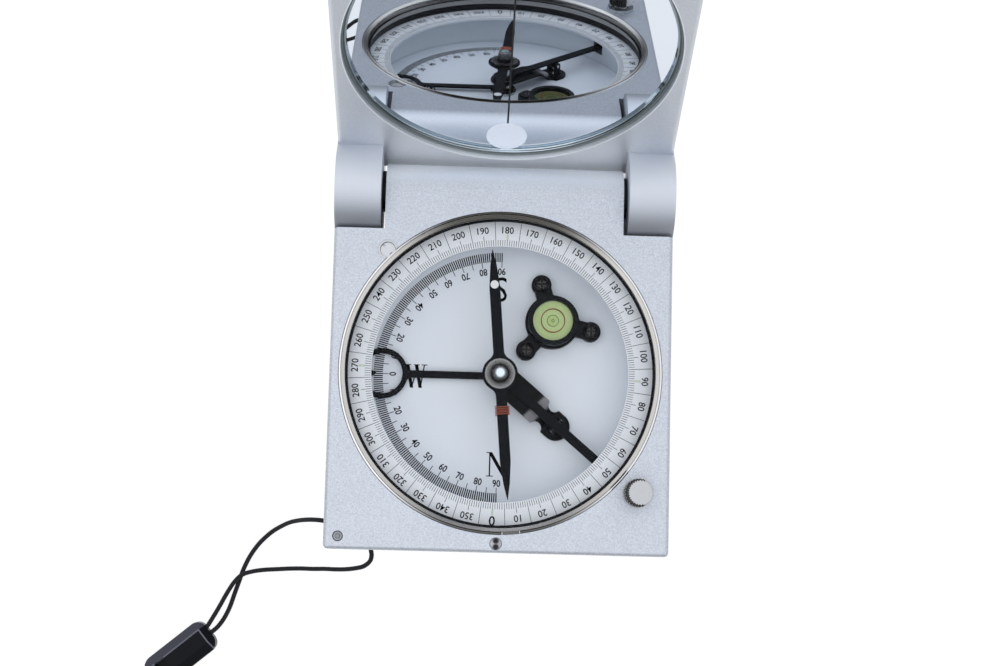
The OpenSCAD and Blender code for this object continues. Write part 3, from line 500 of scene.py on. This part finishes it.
# Painted shade in two spots, above and below the pin's middle, with a painted highlight band between
shade_above, shade_below = 0.45*pin_r, 0.5*pin_r
dimple = Finish("dimpled pin", Metallic=1.0)
nearer = dimple.node("Math", {"operation": "MINIMUM"}, {
    0: dimple.from_axis(pin_x, pin_y + shade_above), 1: dimple.from_axis(pin_x, pin_y - shade_below)})
dimple.set(Base_Color=dimple.blend((0.03, 0.027, 0.027), (0.42, 0.42, 0.44),
                                   dimple.step(nearer/pin_r, 0.28, 0.72)),
           Roughness=dimple.between(0.25, 0.4, dimple.noise(0.5*MM)))
dress(dimple, "front_pin")

pin_x, pin_y, pin_r = middle_of("lanyard_pin")
pin_steel = Finish("sunk pin", Metallic=1.0)
# Painted light and shade in rings round the pin's axis, darkest at its edge
pin_steel.set(
    Base_Color=pin_steel.node("ValToRGB", {"stops": [
        (0.0, (0.30, 0.31, 0.33)), (0.45, (0.16, 0.17, 0.18)), (0.7, (0.34, 0.35, 0.37)),
        (0.92, (0.10, 0.10, 0.11)), (1.0, (0.05, 0.05, 0.05))]},
        {0: pin_steel.from_axis(pin_x, pin_y)/pin_r}),
    Roughness=pin_steel.between(0.3, 0.45, pin_steel.noise(0.5*MM)))
dress(pin_steel, "lanyard_pin")

# %% Lock button
KNURLS = 28
KNURL_DEPTH = 0.11*MM
RIM_W = 0.46*MM
RIM_SHIFT_X, RIM_SHIFT_Y, RIM_TO_X = 0.34*MM, 0.04*MM, 1.2*MM
button_x, button_y, button_r = middle_of("lock_button")
knurled = Finish("knurled nickel", Metallic=1.0)
dx, dy, _ = knurled.axes(knurled.place((button_x, button_y, 0)))
teeth = (dy.sum("ARCTAN2", dy, dx)*KNURLS).sine()*KNURL_DEPTH
# The painted shade on the knurled rim has its own axis off the button's, which makes it wider
# towards the window
off_axis = knurled.from_axis(button_x + RIM_SHIFT_X, button_y + RIM_SHIFT_Y) + teeth
painted_rim_shade = (off_axis > button_r - RIM_W)*(dx < RIM_TO_X)
smear = knurled.noise(0.9*MM, 3)
knurled.set(
    Base_Color=knurled.blend(knurled.blend((0.47, 0.47, 0.475), (0.55, 0.55, 0.555), smear),
                             (0.035, 0.03, 0.026), painted_rim_shade*0.95),
    Roughness=knurled.between(0.28, 0.42, smear))
dress(knurled, "lock_button")

# %% [markdown]
# Dial and graduated ring are stove-enamelled. Enamel is a smooth paint with a soft gloss, so a
# slight unevenness in its roughness is all the detail it shows.

# %% Enamels
def enamel(name, colour, rough=0.35):
    """Smooth paint under a thin clear coat."""
    finish = Finish(name, Coat_Weight=0.2, Coat_Roughness=0.15)
    finish.set(Base_Color=finish.blend([c*0.96 for c in colour], colour, finish.noise(6*MM, 3)),
               Roughness=finish.between(rough, rough + 0.1, finish.noise(0.4*MM)))
    finish.relief(finish.noise(0.25*MM), 0.006*MM, 0.3)
    return finish


dial_enamel = enamel("dial enamel", (0.84, 0.88, 0.93))
ring_enamel = enamel("ring enamel", (0.92, 0.94, 0.97))
glow_ink = enamel("luminous ink", (0.68, 0.76, 0.60), 0.5)
# White paint for the needle's dot, also used for painted highlights on the sprung ring and the
# mirror's recess
white_paint_and_highlights = enamel("white paint and highlights", (0.85, 0.86, 0.86))
dress(dial_enamel, "dial_plate")
dress(ring_enamel, "graduated_ring")
dress(white_paint_and_highlights, "needle_dot")

# %% [markdown]
# The inner fittings are black. Anodised aluminium has a satin surface, and the stamped and blued
# steel of the needle and the lever is a little glossier and slightly blue.

# %% Black finishes
def textured(name, rough, texture=0.12*MM, depth=0.01*MM, shine=0.18):
    """A finely textured surface that still needs a colour; shine is how much it reflects."""
    finish = Finish(name, Specular_IOR_Level=shine)
    finish.grain = finish.noise(texture, 3)
    finish.set(Roughness=finish.between(rough - 0.06, rough + 0.08, finish.grain))
    finish.relief(finish.grain, depth, 0.4)
    return finish


def black(name, colour, rough, **texture):
    """A textured surface whose grain changes its dark colour too."""
    finish = textured(name, rough, **texture)
    darker, lighter = [c*0.7 for c in colour], [c*1.3 for c in colour]
    finish.set(Base_Color=finish.blend(darker, lighter, finish.grain))
    return finish


black_ink = black("black ink", (0.003, 0.003, 0.004), 0.6, shine=0.03)
grey_ink = black("grey ink", (0.06, 0.063, 0.068), 0.6, shine=0.03)
anodised = black("black anodising", (0.005, 0.006, 0.008), 0.38, shine=0.12)
blued = black("blued steel", (0.004, 0.005, 0.007), 0.42, depth=0.002*MM, shine=0.09)
sealant = black("clear sealant", (0.16, 0.185, 0.19), 0.3, shine=0.5)
dress(anodised, "level_housing", "hinge_washers")
dress(blued, "needle", "lift_lever", "clinometer_pointer")
dress(sealant, "gasket_ring")

# %% [markdown]
# Two black pieces have a bright part. The spacer under the glass is bare metal above its black
# foot, and across the lever's bracket lies a painted reflection, a pale band. One mask by place does
# for each.

# %% Spacer and bracket
SPACER_BARE_Z = 17.2*MM
spacer = textured("spacer", 0.4, shine=0.2)
_, _, up = spacer.axes(spacer.place())
bare = up > SPACER_BARE_Z
spacer.set(Base_Color=spacer.blend((0.006, 0.006, 0.007), (0.45, 0.44, 0.42), bare), Metallic=bare)
dress(spacer, "spacer_ring")

BRACKET_TURN = math.radians(46)
BAND_AT, BAND_FULL, BAND_GONE = 11.2*MM, 0.8*MM, 1.6*MM
bracket = textured("bracket blacking", 0.3, shine=0.1)
along, _, _ = bracket.axes(bracket.place(turn=(0, 0, BRACKET_TURN)))
# Painted reflection: a pale band across the bracket
painted_reflection_band = bracket.step(abs(along - BAND_AT), BAND_FULL, BAND_GONE, 1.0, 0.0)
bracket.set(Base_Color=bracket.blend((0.003, 0.004, 0.005), (0.24, 0.24, 0.25), painted_reflection_band))
dress(bracket, "lever_bracket")

# %% [markdown]
# Three black screws hold the level. Their heads have cross recesses, whose edges catch the light.
# Recesses could be cut in the solids, but at under a millimetre only those glints show, and they
# are painted highlights in the heads' colour.

# %% Level screws
LEVEL_EARS = ((8.85, 20.5), (19.9, 10.35), (5.75, 5.9))
CROSS_HALF_W, CROSS_REACH, GLINT_HALF_W = 0.36*MM, 0.95*MM, 0.1*MM
screw_black = textured("glossy black screws", 0.22, shine=0.3)
# Painted highlights along the edges of each cross
glints = 0
for x, y in LEVEL_EARS:
    dx, dy, _ = screw_black.axes(screw_black.place((x*MM, y*MM, 0)))
    near = dx.sum("MINIMUM", abs(dx), abs(dy))
    far = dx.sum("MAXIMUM", abs(dx), abs(dy))
    glints = glints + (abs(near - CROSS_HALF_W) < GLINT_HALF_W)*(far < CROSS_REACH)
screw_black.set(Base_Color=screw_black.blend((0.006, 0.006, 0.007), (0.07, 0.062, 0.056), glints))
dress(screw_black, "level_screws")

# %% [markdown]
# The cord's clip is moulded in black plastic. Its left flank slopes and gets a painted bluish grey
# reflection, and a painted highlight along a ridge parts it from the top; another runs along the
# ridge at its end. Flank and ridges are found with the clip's own directions, from its centre.

# %% Clip plastic
CLIP_AT, CLIP_TURN = Vector((-61.9, -56.8, 0))*MM, math.radians(219.7)
RIDGE_OVER, RIDGE_ALONG, RIDGE_HALF_W = -1.3*MM, 1.5*MM, 0.16*MM
clip_plastic = textured("clip plastic", 0.30, texture=0.3*MM, depth=0.02*MM, shine=0.1)
along, over, _ = clip_plastic.axes(clip_plastic.place(CLIP_AT, (0, 0, -CLIP_TURN)))
# Painted highlights along the side and end ridges, and a painted reflection on the left flank
side_ridge_highlight = (abs(over - RIDGE_OVER) < RIDGE_HALF_W)*(along > RIDGE_ALONG - 0.1*MM)
end_ridge_highlight = (abs(along - RIDGE_ALONG) < RIDGE_HALF_W)*(over > RIDGE_OVER)
faces = clip_plastic.blend((0.003, 0.004, 0.006), (0.055, 0.056, 0.072), over < RIDGE_OVER)
clip_plastic.set(Base_Color=clip_plastic.blend(faces, (0.13, 0.135, 0.16), side_ridge_highlight + end_ridge_highlight))
dress(clip_plastic, "cord_clip")

# %% [markdown]
# A window that only shows what lies behind it needs no refraction. A nearly clear surface that
# keeps a trace of gloss renders fast, and it lets the light through to the dial. The lid's small
# sight window is frosted instead, and gives off a little painted light of its own, for the light
# that comes through from behind it.

# %% Clear pieces
def clear(name, colour, alpha, rough=0.03):
    """A see-through surface; alpha is how much of it stays."""
    finish = Finish(name, Alpha=alpha, IOR=1.5)
    finish.set(Base_Color=colour, Roughness=finish.between(rough, rough + 0.03, finish.noise(3*MM)))
    return finish


window = clear("window glass", (0.02, 0.022, 0.022), 0.04)
jewel = clear("jewel", (0.85, 0.6, 0.6), 0.5)
dress(window, "window_glass")
dress(jewel, "needle_jewel")
# Painted light: the frosted sight gives off a little light of its own
frosted = Finish("frosted sight", Roughness=0.45, Emission_Strength=0.22)
frosted.set(Base_Color=frosted.blend((0.78, 0.83, 0.90), (0.84, 0.89, 0.96), frosted.noise(2*MM)),
            Emission_Color=(0.80, 0.87, 1.0))
dress(frosted, "sight_window")

# %% [markdown]
# The round level is a glass over green spirit with a bubble in it. A brown circle on the glass
# frames the bubble, which has a painted dark edge, painted shade where a real bubble bends the light
# away, and a small dark ring in its middle. Real spirit glows with the light that goes through it,
# so the solid spirit and the bubble here give off a little painted light of their own.

# %% Round level
LEVEL_X, LEVEL_Y = 11.4*MM, 12.3*MM
LINE_HALF_W = 0.1*MM
CIRCLE_R, BUBBLE_EDGE_R, BUBBLE_MIDDLE_R = 2.58*MM, 1.16*MM, 0.28*MM
lens = clear("level lens", (0.02, 0.02, 0.02), 0.05)
circle = abs(lens.from_axis(LEVEL_X, LEVEL_Y) - CIRCLE_R) < LINE_HALF_W
lens.set(Alpha=circle*0.9 + 0.05,
         Base_Color=lens.blend((0.02, 0.02, 0.02), (0.22, 0.07, 0.02), circle))
spirit = Finish("spirit", Roughness=0.2, Emission_Strength=0.1)
spirit.set(Base_Color=spirit.blend((0.62, 0.78, 0.33), (0.74, 0.90, 0.42), spirit.noise(3*MM)),
           Emission_Color=(0.75, 0.95, 0.4))
air = Finish("bubble", Roughness=0.1, Emission_Strength=0.08)
from_middle = air.from_axis(LEVEL_X, LEVEL_Y)
# Painted shade at the bubble's edge, and a small dark ring in its middle
dark_edge_and_ring = (from_middle > BUBBLE_EDGE_R) + (abs(from_middle - BUBBLE_MIDDLE_R) < LINE_HALF_W)
pale = air.blend((0.55, 0.72, 0.26), (0.65, 0.82, 0.32), air.noise(2*MM))
air.set(Base_Color=air.blend(pale, (0.10, 0.15, 0.05), dark_edge_and_ring*0.85), Emission_Color=(0.75, 0.95, 0.4))
dress(lens, "level_lens")
dress(spirit, "level_liquid")
dress(air, "level_bubble")

# %% [markdown]
# The mirror is a glass disc, silvered behind, with a black sighting line and a clear spot that
# shows white and gives off a little painted light, for the light that comes through it. Real glass
# bends light, which makes the silver seem to lie nearer the front. The glass here doesn't, so a
# silver disc of its own lies where the real one would seem to be.

# %% Mirror
# Opened by 180 degrees the lid would lie flat behind the hinge, so it is turned up from there
LID_OPEN = 115.5
LID_TURN = Matrix.Rotation(math.radians(180 - LID_OPEN), 4, "X")
MIRROR_ALONG, SIGHT_ALONG = 39.4, 10.34
SILVER_DEPTH, SILVER_R = 8.2, 33.9
SIGHT_R = 4.4*MM
SIGHT_LINE_X, SIGHT_LINE_HALF_W, SIGHT_LINE_LOW = 0.08*MM, 0.2*MM, 23.5*MM


def on_lid(x, along, depth):
    """A place on the open lid: across, along from the hinge, and depth behind its inner face."""
    return Vector((x*MM, HINGE_Y, HINGE_Z)) + LID_TURN.to_3x3() @ Vector((0, along, -depth))*MM


def mesh_of(name, bm):
    """Ends a bmesh and gives it back as a mesh."""
    mesh = bpy.data.meshes.new(name)
    bm.to_mesh(mesh)
    bm.free()
    return mesh


silvering = Finish("mirror silvering", Emission_Strength=0.2)
side, _, up = silvering.axes(silvering.place())
line = (abs(side - SIGHT_LINE_X) < SIGHT_LINE_HALF_W)*(up > SIGHT_LINE_LOW)
sight = silvering.from_point(on_lid(0, SIGHT_ALONG, SILVER_DEPTH)) < SIGHT_R
# The clear sight spot gives off a little painted light
silvering.set(
    Base_Color=silvering.blend(silvering.blend((0.76, 0.81, 0.88), (0.01, 0.01, 0.01), line),
                               (0.78, 0.83, 0.91), sight),
    Metallic=1 - line - sight,
    Roughness=silvering.between(0.0, 0.012, silvering.noise(5*MM)) + (line + sight)*0.4,
    Emission_Color=silvering.blend((0, 0, 0), (0.80, 0.87, 1.0), sight))
bm = bmesh.new()
bmesh.ops.create_circle(
    bm, cap_ends=True, segments=180, radius=SILVER_R*MM,
    matrix=Matrix.Translation(on_lid(0, MIRROR_ALONG, SILVER_DEPTH)) @ LID_TURN)
fit(finished("silver_layer", mesh_of("silver_layer", bm), silvering), "lid", "mirror_silver",
    "mirror_coating")

# %% Mirror's glass
GROUND_EDGE_R = 33.45*MM
GLASS_MIDDLE_DEPTH = 7.3
mirror_glass = clear("mirror glass", (0.02, 0.02, 0.02), 0.04)
ground_edge = mirror_glass.from_point(on_lid(0, MIRROR_ALONG, GLASS_MIDDLE_DEPTH)) > GROUND_EDGE_R
mirror_glass.set(
    Alpha=ground_edge*0.92 + 0.04, Metallic=ground_edge,
    Base_Color=mirror_glass.blend((0.02, 0.02, 0.02), (0.74, 0.79, 0.79), ground_edge))
dress(mirror_glass, "mirror_glass")

# %% [markdown]
# The printed scales are ink, a few hundredths of a millimetre thick. They could be painted by the
# shader, but as thin solids they stay sharp from any distance. Each mark is a flat block, and each
# number is a text's outline given the same thickness.

# %% Printing helpers
INK = 0.02*MM


def print_mark(bm, azimuth, inner, outer, width, level):
    """A radial line between two radii, standing on a level."""
    turn = Matrix.Rotation(math.radians(azimuth), 4, "Z")
    place = Matrix.Translation(((inner + outer)/2*MM, 0, level*MM + INK/2))
    bmesh.ops.create_cube(bm, size=1, matrix=turn @ place @ Matrix.Diagonal(
        ((outer - inner)*MM, width*MM, INK, 1)))


def print_text(bm, words, height, radius, azimuth, upright, level, squeeze=1.0, weight=0.0):
    """Words centred at a radius, their tops turned by upright from outwards."""
    line = bpy.data.curves.new("words", "FONT")
    line.body = words
    line.align_x = line.align_y = "CENTER"
    line.resolution_u = 3
    line.offset = weight
    mesh = drawn_mesh(line)
    xs = [v.co.x for v in mesh.vertices]
    ys = [v.co.y for v in mesh.vertices]
    scale = height*MM/(max(ys) - min(ys))
    middle = Matrix.Translation((-(max(xs) + min(xs))/2, -(max(ys) + min(ys))/2, 0))
    shape = Matrix.Diagonal((scale*squeeze, scale, 1, 1))
    turn = Matrix.Rotation(math.radians(azimuth), 4, "Z")
    face = Matrix.Rotation(math.radians(upright - 90), 4, "Z")
    mesh.transform(turn @ Matrix.Translation((radius*MM, 0, level*MM)) @ face @ shape @ middle)
    flat = bmesh.new()
    flat.from_mesh(mesh)
    bmesh.ops.remove_doubles(flat, verts=flat.verts, dist=1e-7)
    grown = bmesh.ops.extrude_face_region(flat, geom=flat.faces[:])
    raised = [e for e in grown["geom"] if isinstance(e, bmesh.types.BMVert)]
    bmesh.ops.translate(flat, vec=(0, 0, INK), verts=raised)
    bmesh.ops.recalc_face_normals(flat, faces=flat.faces)
    flat.to_mesh(mesh)
    flat.free()
    bm.from_mesh(mesh)
    bpy.data.meshes.remove(mesh)


def printed(name, bm, body, finish, slot):
    """Makes a piece of all that was printed into a bmesh."""
    return fit(finished(name, mesh_of(name, bm), finish, math.radians(20)), body, slot)


# %% [markdown]
# The graduated ring reads bearings: a tick for every degree, longer ones at every fifth and tenth,
# and numbers every ten degrees, in a plain upright face. Four pale luminous marks stand at the
# quarters. One loop turns each mark to its place, from the ring's own zero.

# %% Graduated ring
ring_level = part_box("graduated_ring")[1].z/MM
RING_IN, RING_OUT = 27.76, 33.6
RING_ZERO = -91.7
TICK_IN, TICK_W = RING_IN + 0.1, 0.11
DEGREE_OUT, FIFTH_OUT, TENTH_OUT = RING_IN + 1.4, RING_OUT - 0.2, RING_IN + 2.35
ticks = bmesh.new()
for degree in range(360):
    outer = {0: TENTH_OUT, 5: FIFTH_OUT}.get(degree % 10, DEGREE_OUT)
    print_mark(ticks, RING_ZERO + degree, TICK_IN, outer, TICK_W, ring_level)
printed("ring_ticks", ticks, "ring", grey_ink, "ring_enamel")

NUMBER_H, NUMBER_R = 1.5, 31.35
ZERO_H, ZERO_R = 2.15, 31.7
labels = bmesh.new()
for degree in range(0, 360, 10):
    size, radius = (ZERO_H, ZERO_R) if degree == 0 else (NUMBER_H, NUMBER_R)
    print_text(labels, str(degree), size, radius, RING_ZERO + degree, 0, ring_level,
               squeeze=0.95, weight=0.012)
printed("ring_labels", labels, "ring", black_ink, "ring_enamel")

GLOW_IN, GLOW_OUT, GLOW_W, GLOW_PROUD = RING_IN + 1.5, RING_IN + 2.7, 0.5, 0.005
glow = bmesh.new()
for degree in range(0, 360, 90):
    print_mark(glow, RING_ZERO + degree, GLOW_IN, GLOW_OUT, GLOW_W, ring_level + GLOW_PROUD)
printed("ring_glow_marks", glow, "ring", glow_ink, "ring_enamel")

# %% [markdown]
# A black line edges the window, the sprung ring that holds the glass leaves a gap at the front,
# and a white line round the mirror's recess is a painted highlight on its cut edge. All are turned
# from a small section: a full turn for the lines, a few degrees for the strip in the gap and for the
# painted highlights on the ring's two ends.

# %% Turned edges
def turned(name, section, start, sweep, steps, finish, slot, body="case", place=Matrix()):
    """A rectangle of radii and heights in millimetres, turned about an axis, then placed."""
    bm = bmesh.new()
    inner, outer, low, high = section
    corners = [bm.verts.new(Matrix.Rotation(math.radians(start), 3, "Z") @ Vector((r, 0, z))*MM)
               for r, z in ((inner, low), (outer, low), (outer, high), (inner, high))]
    edges = [bm.edges.new((a, b)) for a, b in zip(corners, corners[1:] + corners[:1])]
    full = sweep == 360
    bmesh.ops.spin(bm, geom=corners + edges, cent=(0, 0, 0), axis=(0, 0, 1),
                   angle=math.radians(sweep), steps=steps, use_merge=full, use_duplicate=False)
    if not full:
        bmesh.ops.holes_fill(bm, edges=bm.edges, sides=4)
    bmesh.ops.recalc_face_normals(bm, faces=bm.faces)
    bmesh.ops.transform(bm, matrix=place, verts=bm.verts)
    return fit(finished(name, mesh_of(name, bm), finish), body, slot)


# Each section is an inner and an outer radius, then a lower and an upper height
WINDOW_LINE = (32.6, 33.5, 18.62, 18.66)
GAP_STRIP = (33.98, 34.5, 19.3, 19.9)
RING_END_HIGHLIGHT = (33.98, 34.53, 19.3, 20.12)
RECESS_EDGE_HIGHLIGHT = (34.56, 34.8, -6.21, -6.17)
GAP_START, GAP_SWEEP = -87.9, 6.0
LEFT_END_START, RIGHT_END_START, END_SWEEP = -88.15, -81.9, 0.22
turned("window_edge_line", WINDOW_LINE, 0, 360, 180, anodised, "black_anodised")
turned("snap_gap_strip", GAP_STRIP, GAP_START, GAP_SWEEP, 8, wire_nickel, "bright_nickel")
# Painted highlights: a white block at each end of the sprung ring, and a white line round the
# mirror's recess
for end, start in (("left", LEFT_END_START), ("right", RIGHT_END_START)):
    turned("snap_ring_end_highlight_" + end, RING_END_HIGHLIGHT, start, END_SWEEP, 1, white_paint_and_highlights, "bright_nickel")
turned("recess_edge_highlight", RECESS_EDGE_HIGHLIGHT, 0, 360, 180, white_paint_and_highlights, "satin_aluminium", "lid",
       Matrix.Translation(on_lid(0, MIRROR_ALONG, 0)) @ LID_TURN)

# %% [markdown]
# The half circle printed on the dial reads inclinations: close black ticks for the degrees, a
# longer one at every fifth and numbers every ten degrees, whose feet point outwards. The same two
# printing helpers do it, with another level and other radii.

# %% Inclination scale
dial_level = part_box("dial_plate")[1].z/MM
FIFTH_IN, SCALE_IN, SCALE_OUT = 24.4, 25.6, 27.65
SCALE_TICK_W, SCALE_FIFTH_W = 0.25, 0.15
SCALE_NUMBER_H, SCALE_NUMBER_R = 1.55, 23.45
scale_marks = bmesh.new()
for degree in range(-90, 91):
    print_mark(scale_marks, 180 + degree, SCALE_IN, SCALE_OUT, SCALE_TICK_W, dial_level)
    if degree % 5 == 0:
        print_mark(scale_marks, 180 + degree, FIFTH_IN, SCALE_IN, SCALE_FIFTH_W, dial_level)
for degree in range(-90, 91, 10):
    print_text(scale_marks, str(abs(degree)), SCALE_NUMBER_H, SCALE_NUMBER_R, 180 + degree, 180,
               dial_level, squeeze=0.85, weight=0.02)
printed("inclination_scale", scale_marks, "case", black_ink, "dial_enamel")

# %% [markdown]
# Three cardinal letters are printed on the dial in a face with serifs. Blender's own font has
# none, so N and W are drawn stroke by stroke, thick and thin, each stroke a sheared block. An S
# has no straight stroke, so it stays a text.

# %% Cardinal letters
def stroke(bm, x0, x1, y0, y1, width):
    """A slanting bar with level ends, from (x0, y0) to (x1, y1), in millimetres."""
    bmesh.ops.create_cube(bm, size=1, matrix=Matrix((
        (width*MM, (x1 - x0)*MM, 0, (x0 + x1)/2*MM),
        (0, (y1 - y0)*MM, 0, (y0 + y1)/2*MM),
        (0, 0, INK, dial_level*MM + INK/2),
        (0, 0, 0, 1))))


letters = bmesh.new()
# N: two thin posts, a thick slope and three serifs
THIN_POST, THICK_SLOPE, SERIF_T = 0.3, 0.85, 0.2
N_SERIF, N_HALF_SERIF, W_SERIF = 1.5, 1.0, 1.3
n_left, n_right, n_top, n_low = -1.58, 1.78, -16.63, -21.97
for x in (n_left, n_right):
    stroke(letters, x, x, n_low, n_top, THIN_POST)
stroke(letters, n_right - 0.1, n_left + 0.05, n_low, n_top, THICK_SLOPE)
for x, y in ((n_left, n_low), (n_right, n_top - SERIF_T)):
    stroke(letters, x, x, y, y + SERIF_T, N_SERIF)
stroke(letters, n_left - 0.25, n_left - 0.25, n_top - SERIF_T, n_top, N_HALF_SERIF)

# W: thick and thin slopes in turn, under three serifs
W_THICK, W_THIN = 0.75, 0.28
w_top, w_low = 2.25, -2.93
w_slopes = ((-19.2, -20.2, W_THICK), (-19.2, -18.0, W_THIN),
            (-17.3, -18.3, W_THICK), (-17.3, -16.5, W_THIN))
for x0, x1, width in w_slopes:
    stroke(letters, x0, x1, w_low, w_top, width)
for x in (-20.1, -18.2, -16.5):
    stroke(letters, x, x, w_top - SERIF_T, w_top, W_SERIF)

S_HEIGHT, S_MIDDLE_R = 5.51, 19.455
print_text(letters, "S", S_HEIGHT, S_MIDDLE_R, 90, 0, dial_level, squeeze=0.85)
printed("cardinal_letters", letters, "case", black_ink, "dial_enamel")

# %% [markdown]
# Each ear of the level's flange is joined to its round body by an arm with soft edges. One block
# for each arm, all bevelled at once, gives them.

# %% Level arms
ARM_W, ARM_H, ARM_MIDDLE_H, ARM_EDGE = 3.8*MM, 1.8*MM, 0.93*MM, 0.3*MM
# An arm's middle and its length are shares of the way from the level's middle to the ear
ARM_MIDDLE, ARM_LENGTH = 0.7, 0.6
level_middle = Vector((LEVEL_X, LEVEL_Y, dial_level*MM + ARM_MIDDLE_H))
bm = bmesh.new()
for x, y in LEVEL_EARS:
    reach = Vector((x*MM - LEVEL_X, y*MM - LEVEL_Y, 0))
    bmesh.ops.create_cube(bm, size=1, matrix=Matrix.Translation(level_middle + reach*ARM_MIDDLE)
                          @ Matrix.Rotation(math.atan2(reach.y, reach.x), 4, "Z")
                          @ Matrix.Diagonal((reach.length*ARM_LENGTH, ARM_W, ARM_H, 1)))
bmesh.ops.bevel(bm, geom=bm.edges, affect="EDGES", offset=ARM_EDGE, segments=2, profile=0.5,
                material=-1)
fit(finished("level_arms", mesh_of("level_arms", bm), anodised), "case", "black_anodised")

# %% [markdown]
# The spring under the button is hidden, but it has to close up when the button goes down. Its
# solid can't do that, so a copy of its mesh, with mesh data of its own, stands for it.

# %% Button spring
coil = bmesh.new()
coil.from_mesh(nodes["button_spring"].data)
bmesh.ops.remove_doubles(coil, verts=coil.verts, dist=1e-7)
spring = fit(finished("push_spring", mesh_of("push_spring", coil), steel), "case",
             "turned_steel", "button_spring")
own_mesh(spring)

# %% [markdown]
# The clip's slot near its far end isn't empty: something dark fills it. A plain block set into the
# slot, in the clip's own plastic, is all that shows.

# %% Clip's web
WEB_AT, WEB_SIZE = Vector((12.2, 0.4, 1.7))*MM, Vector((2.3, 3.5, 2.4))*MM
bm = bmesh.new()
bmesh.ops.create_cube(bm, size=1, matrix=Matrix.Translation(CLIP_AT)
                      @ Matrix.Rotation(CLIP_TURN, 4, "Z")
                      @ Matrix.Translation(WEB_AT) @ Matrix.Diagonal((*WEB_SIZE, 1)))
fit(finished("clip_web", mesh_of("clip_web", bm), clip_plastic), "case", "clip_plastic")

# %% [markdown]
# Copper wire wound round one arm of the needle balances its dip. The wire goes round a flat bar, so
# each turn is an ellipse squared off to the bar's outline, and one long path climbs along the
# needle as it goes round. An array of rings would be simpler, but a real winding is one wire.

# %% Balance winding
WIRE_D = 0.25*MM
TURNS, STEPS = 5, 24
WINDING_L, WINDING_AT = 1.95*MM, 8.05*MM
NEEDLE_TURN = Matrix.Rotation(math.radians(180 + 4.9), 4, "Z")
HALF_W, WIRE_CLEAR = 1.5*MM, 0.02*MM
# Powers under 1 square the ellipse off
SIDE_POWER, TOP_POWER = 0.35, 0.5
needle_low, needle_high = (corner.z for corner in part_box("needle"))
half_h = (needle_high - needle_low)/2 + WIRE_D/2 + WIRE_CLEAR
path = []
for i in range(TURNS*STEPS + 1):
    angle = 2*math.pi*i/STEPS
    c, s = math.cos(angle), math.sin(angle)
    x = HALF_W*math.copysign(abs(c)**SIDE_POWER, c)
    y = WINDING_AT - WINDING_L/2 + WINDING_L*i/(TURNS*STEPS)
    z = half_h*math.copysign(abs(s)**TOP_POWER, s) + (needle_low + needle_high)/2
    path.append(NEEDLE_TURN @ Vector((x, y, z)))
copper = Finish("copper wire", Metallic=0.6, Roughness=0.3)
shade = copper.noise(0.35*MM)
copper.set(Base_Color=copper.blend((0.16, 0.04, 0.024), (0.58, 0.17, 0.095), shade))
copper.relief(shade, 0.01*MM, 0.3)
fit(tube("balance_winding", path, WIRE_D/2, copper), "needle_set", "copper_wire", "balance_coil")

# %% [markdown]
# The table is a plain pale sheet. The camera sees it as white, the light still falls on it, and
# it keeps a faint shadow of the compass.

# %% Table
TABLE_HALF = 2.0
bm = bmesh.new()
bmesh.ops.create_grid(bm, x_segments=1, y_segments=1, size=TABLE_HALF)
table = bpy.data.objects.new("table", mesh_of("table", bm))
table.location.z = -0.1*MM
bpy.context.collection.objects.link(table)
paper = Finish("table paper", Base_Color=(0.88, 0.88, 0.88), Roughness=0.9)
table.data.materials.append(paper.material)


def ray_kinds(finish, *kinds):
    """The Light Path's outputs of these names."""
    outputs = finish.node("LightPath").socket.node.outputs
    return [Level(finish.tree, outputs[kind]) for kind in kinds]


# Rays from the camera, and those that metal and glass send, see the paper glow
camera_ray, glossy, transmitted = ray_kinds(
    paper, "Is Camera Ray", "Is Glossy Ray", "Is Transmission Ray")
seen = (camera_ray + glossy + transmitted) > 0.5
glowing = paper.node("Emission", sockets={"Color": (1, 1, 1, 1), "Strength": 1.12})
mixer = paper.node("MixShader", sockets={0: seen*0.8}).socket.node
paper.tree.links.new(paper.shader.outputs[0], mixer.inputs[1])
paper.tree.links.new(glowing.socket, mixer.inputs[2])
paper.tree.links.new(mixer.outputs[0], paper.tree.nodes["Material Output"].inputs[0])
print("the table is", 2*TABLE_HALF, "m wide")

# %% [markdown]
# The light is a pale sky that is brightest overhead and darker in front, so that metal has
# something dark to mirror, and one large soft box above the table. The camera itself sees the sky
# as plain white.

# %% Studio light
class Sky(Finish):
    """The world's own nodes, with the same helpers as a finish."""

    def __init__(self, world):
        self.tree = world.node_tree
        self.shader = self.tree.nodes["Background"]


world = bpy.data.worlds.new("studio")
world.use_nodes = True
bpy.context.scene.world = world
sky = Sky(world)
_, y, z = sky.axes(sky.node("TexCoord", out=0))
height = sky.step(z, 0.1, 0.75, 0.45, 1.0)
front = sky.step(y, -0.96, -0.70, 0.2, 1.0)
camera_ray = ray_kinds(sky, "Is Camera Ray")[0]
sky.set(Color=sky.blend((0.94, 0.975, 1.03), (1, 1, 1), camera_ray),
        Strength=camera_ray + (1 - camera_ray)*height*front*1.12)

key = bpy.data.lights.new("overhead softbox", "AREA")
key.shape = "RECTANGLE"
key.size, key.size_y, key.energy = 1.2, 0.8, 1.0
softbox = bpy.data.objects.new("overhead softbox", key)
softbox.location = (-0.35, -0.15, 1.1)
softbox.rotation_euler = (-softbox.location).to_track_quat("-Z", "Y").to_euler()
bpy.context.collection.objects.link(softbox)
print("the soft box is", round(softbox.location.length, 2), "m away")

# %% [markdown]

# %% Closing
bpy.context.scene.view_settings.view_transform = "Standard"
bpy.context.view_layer.update()
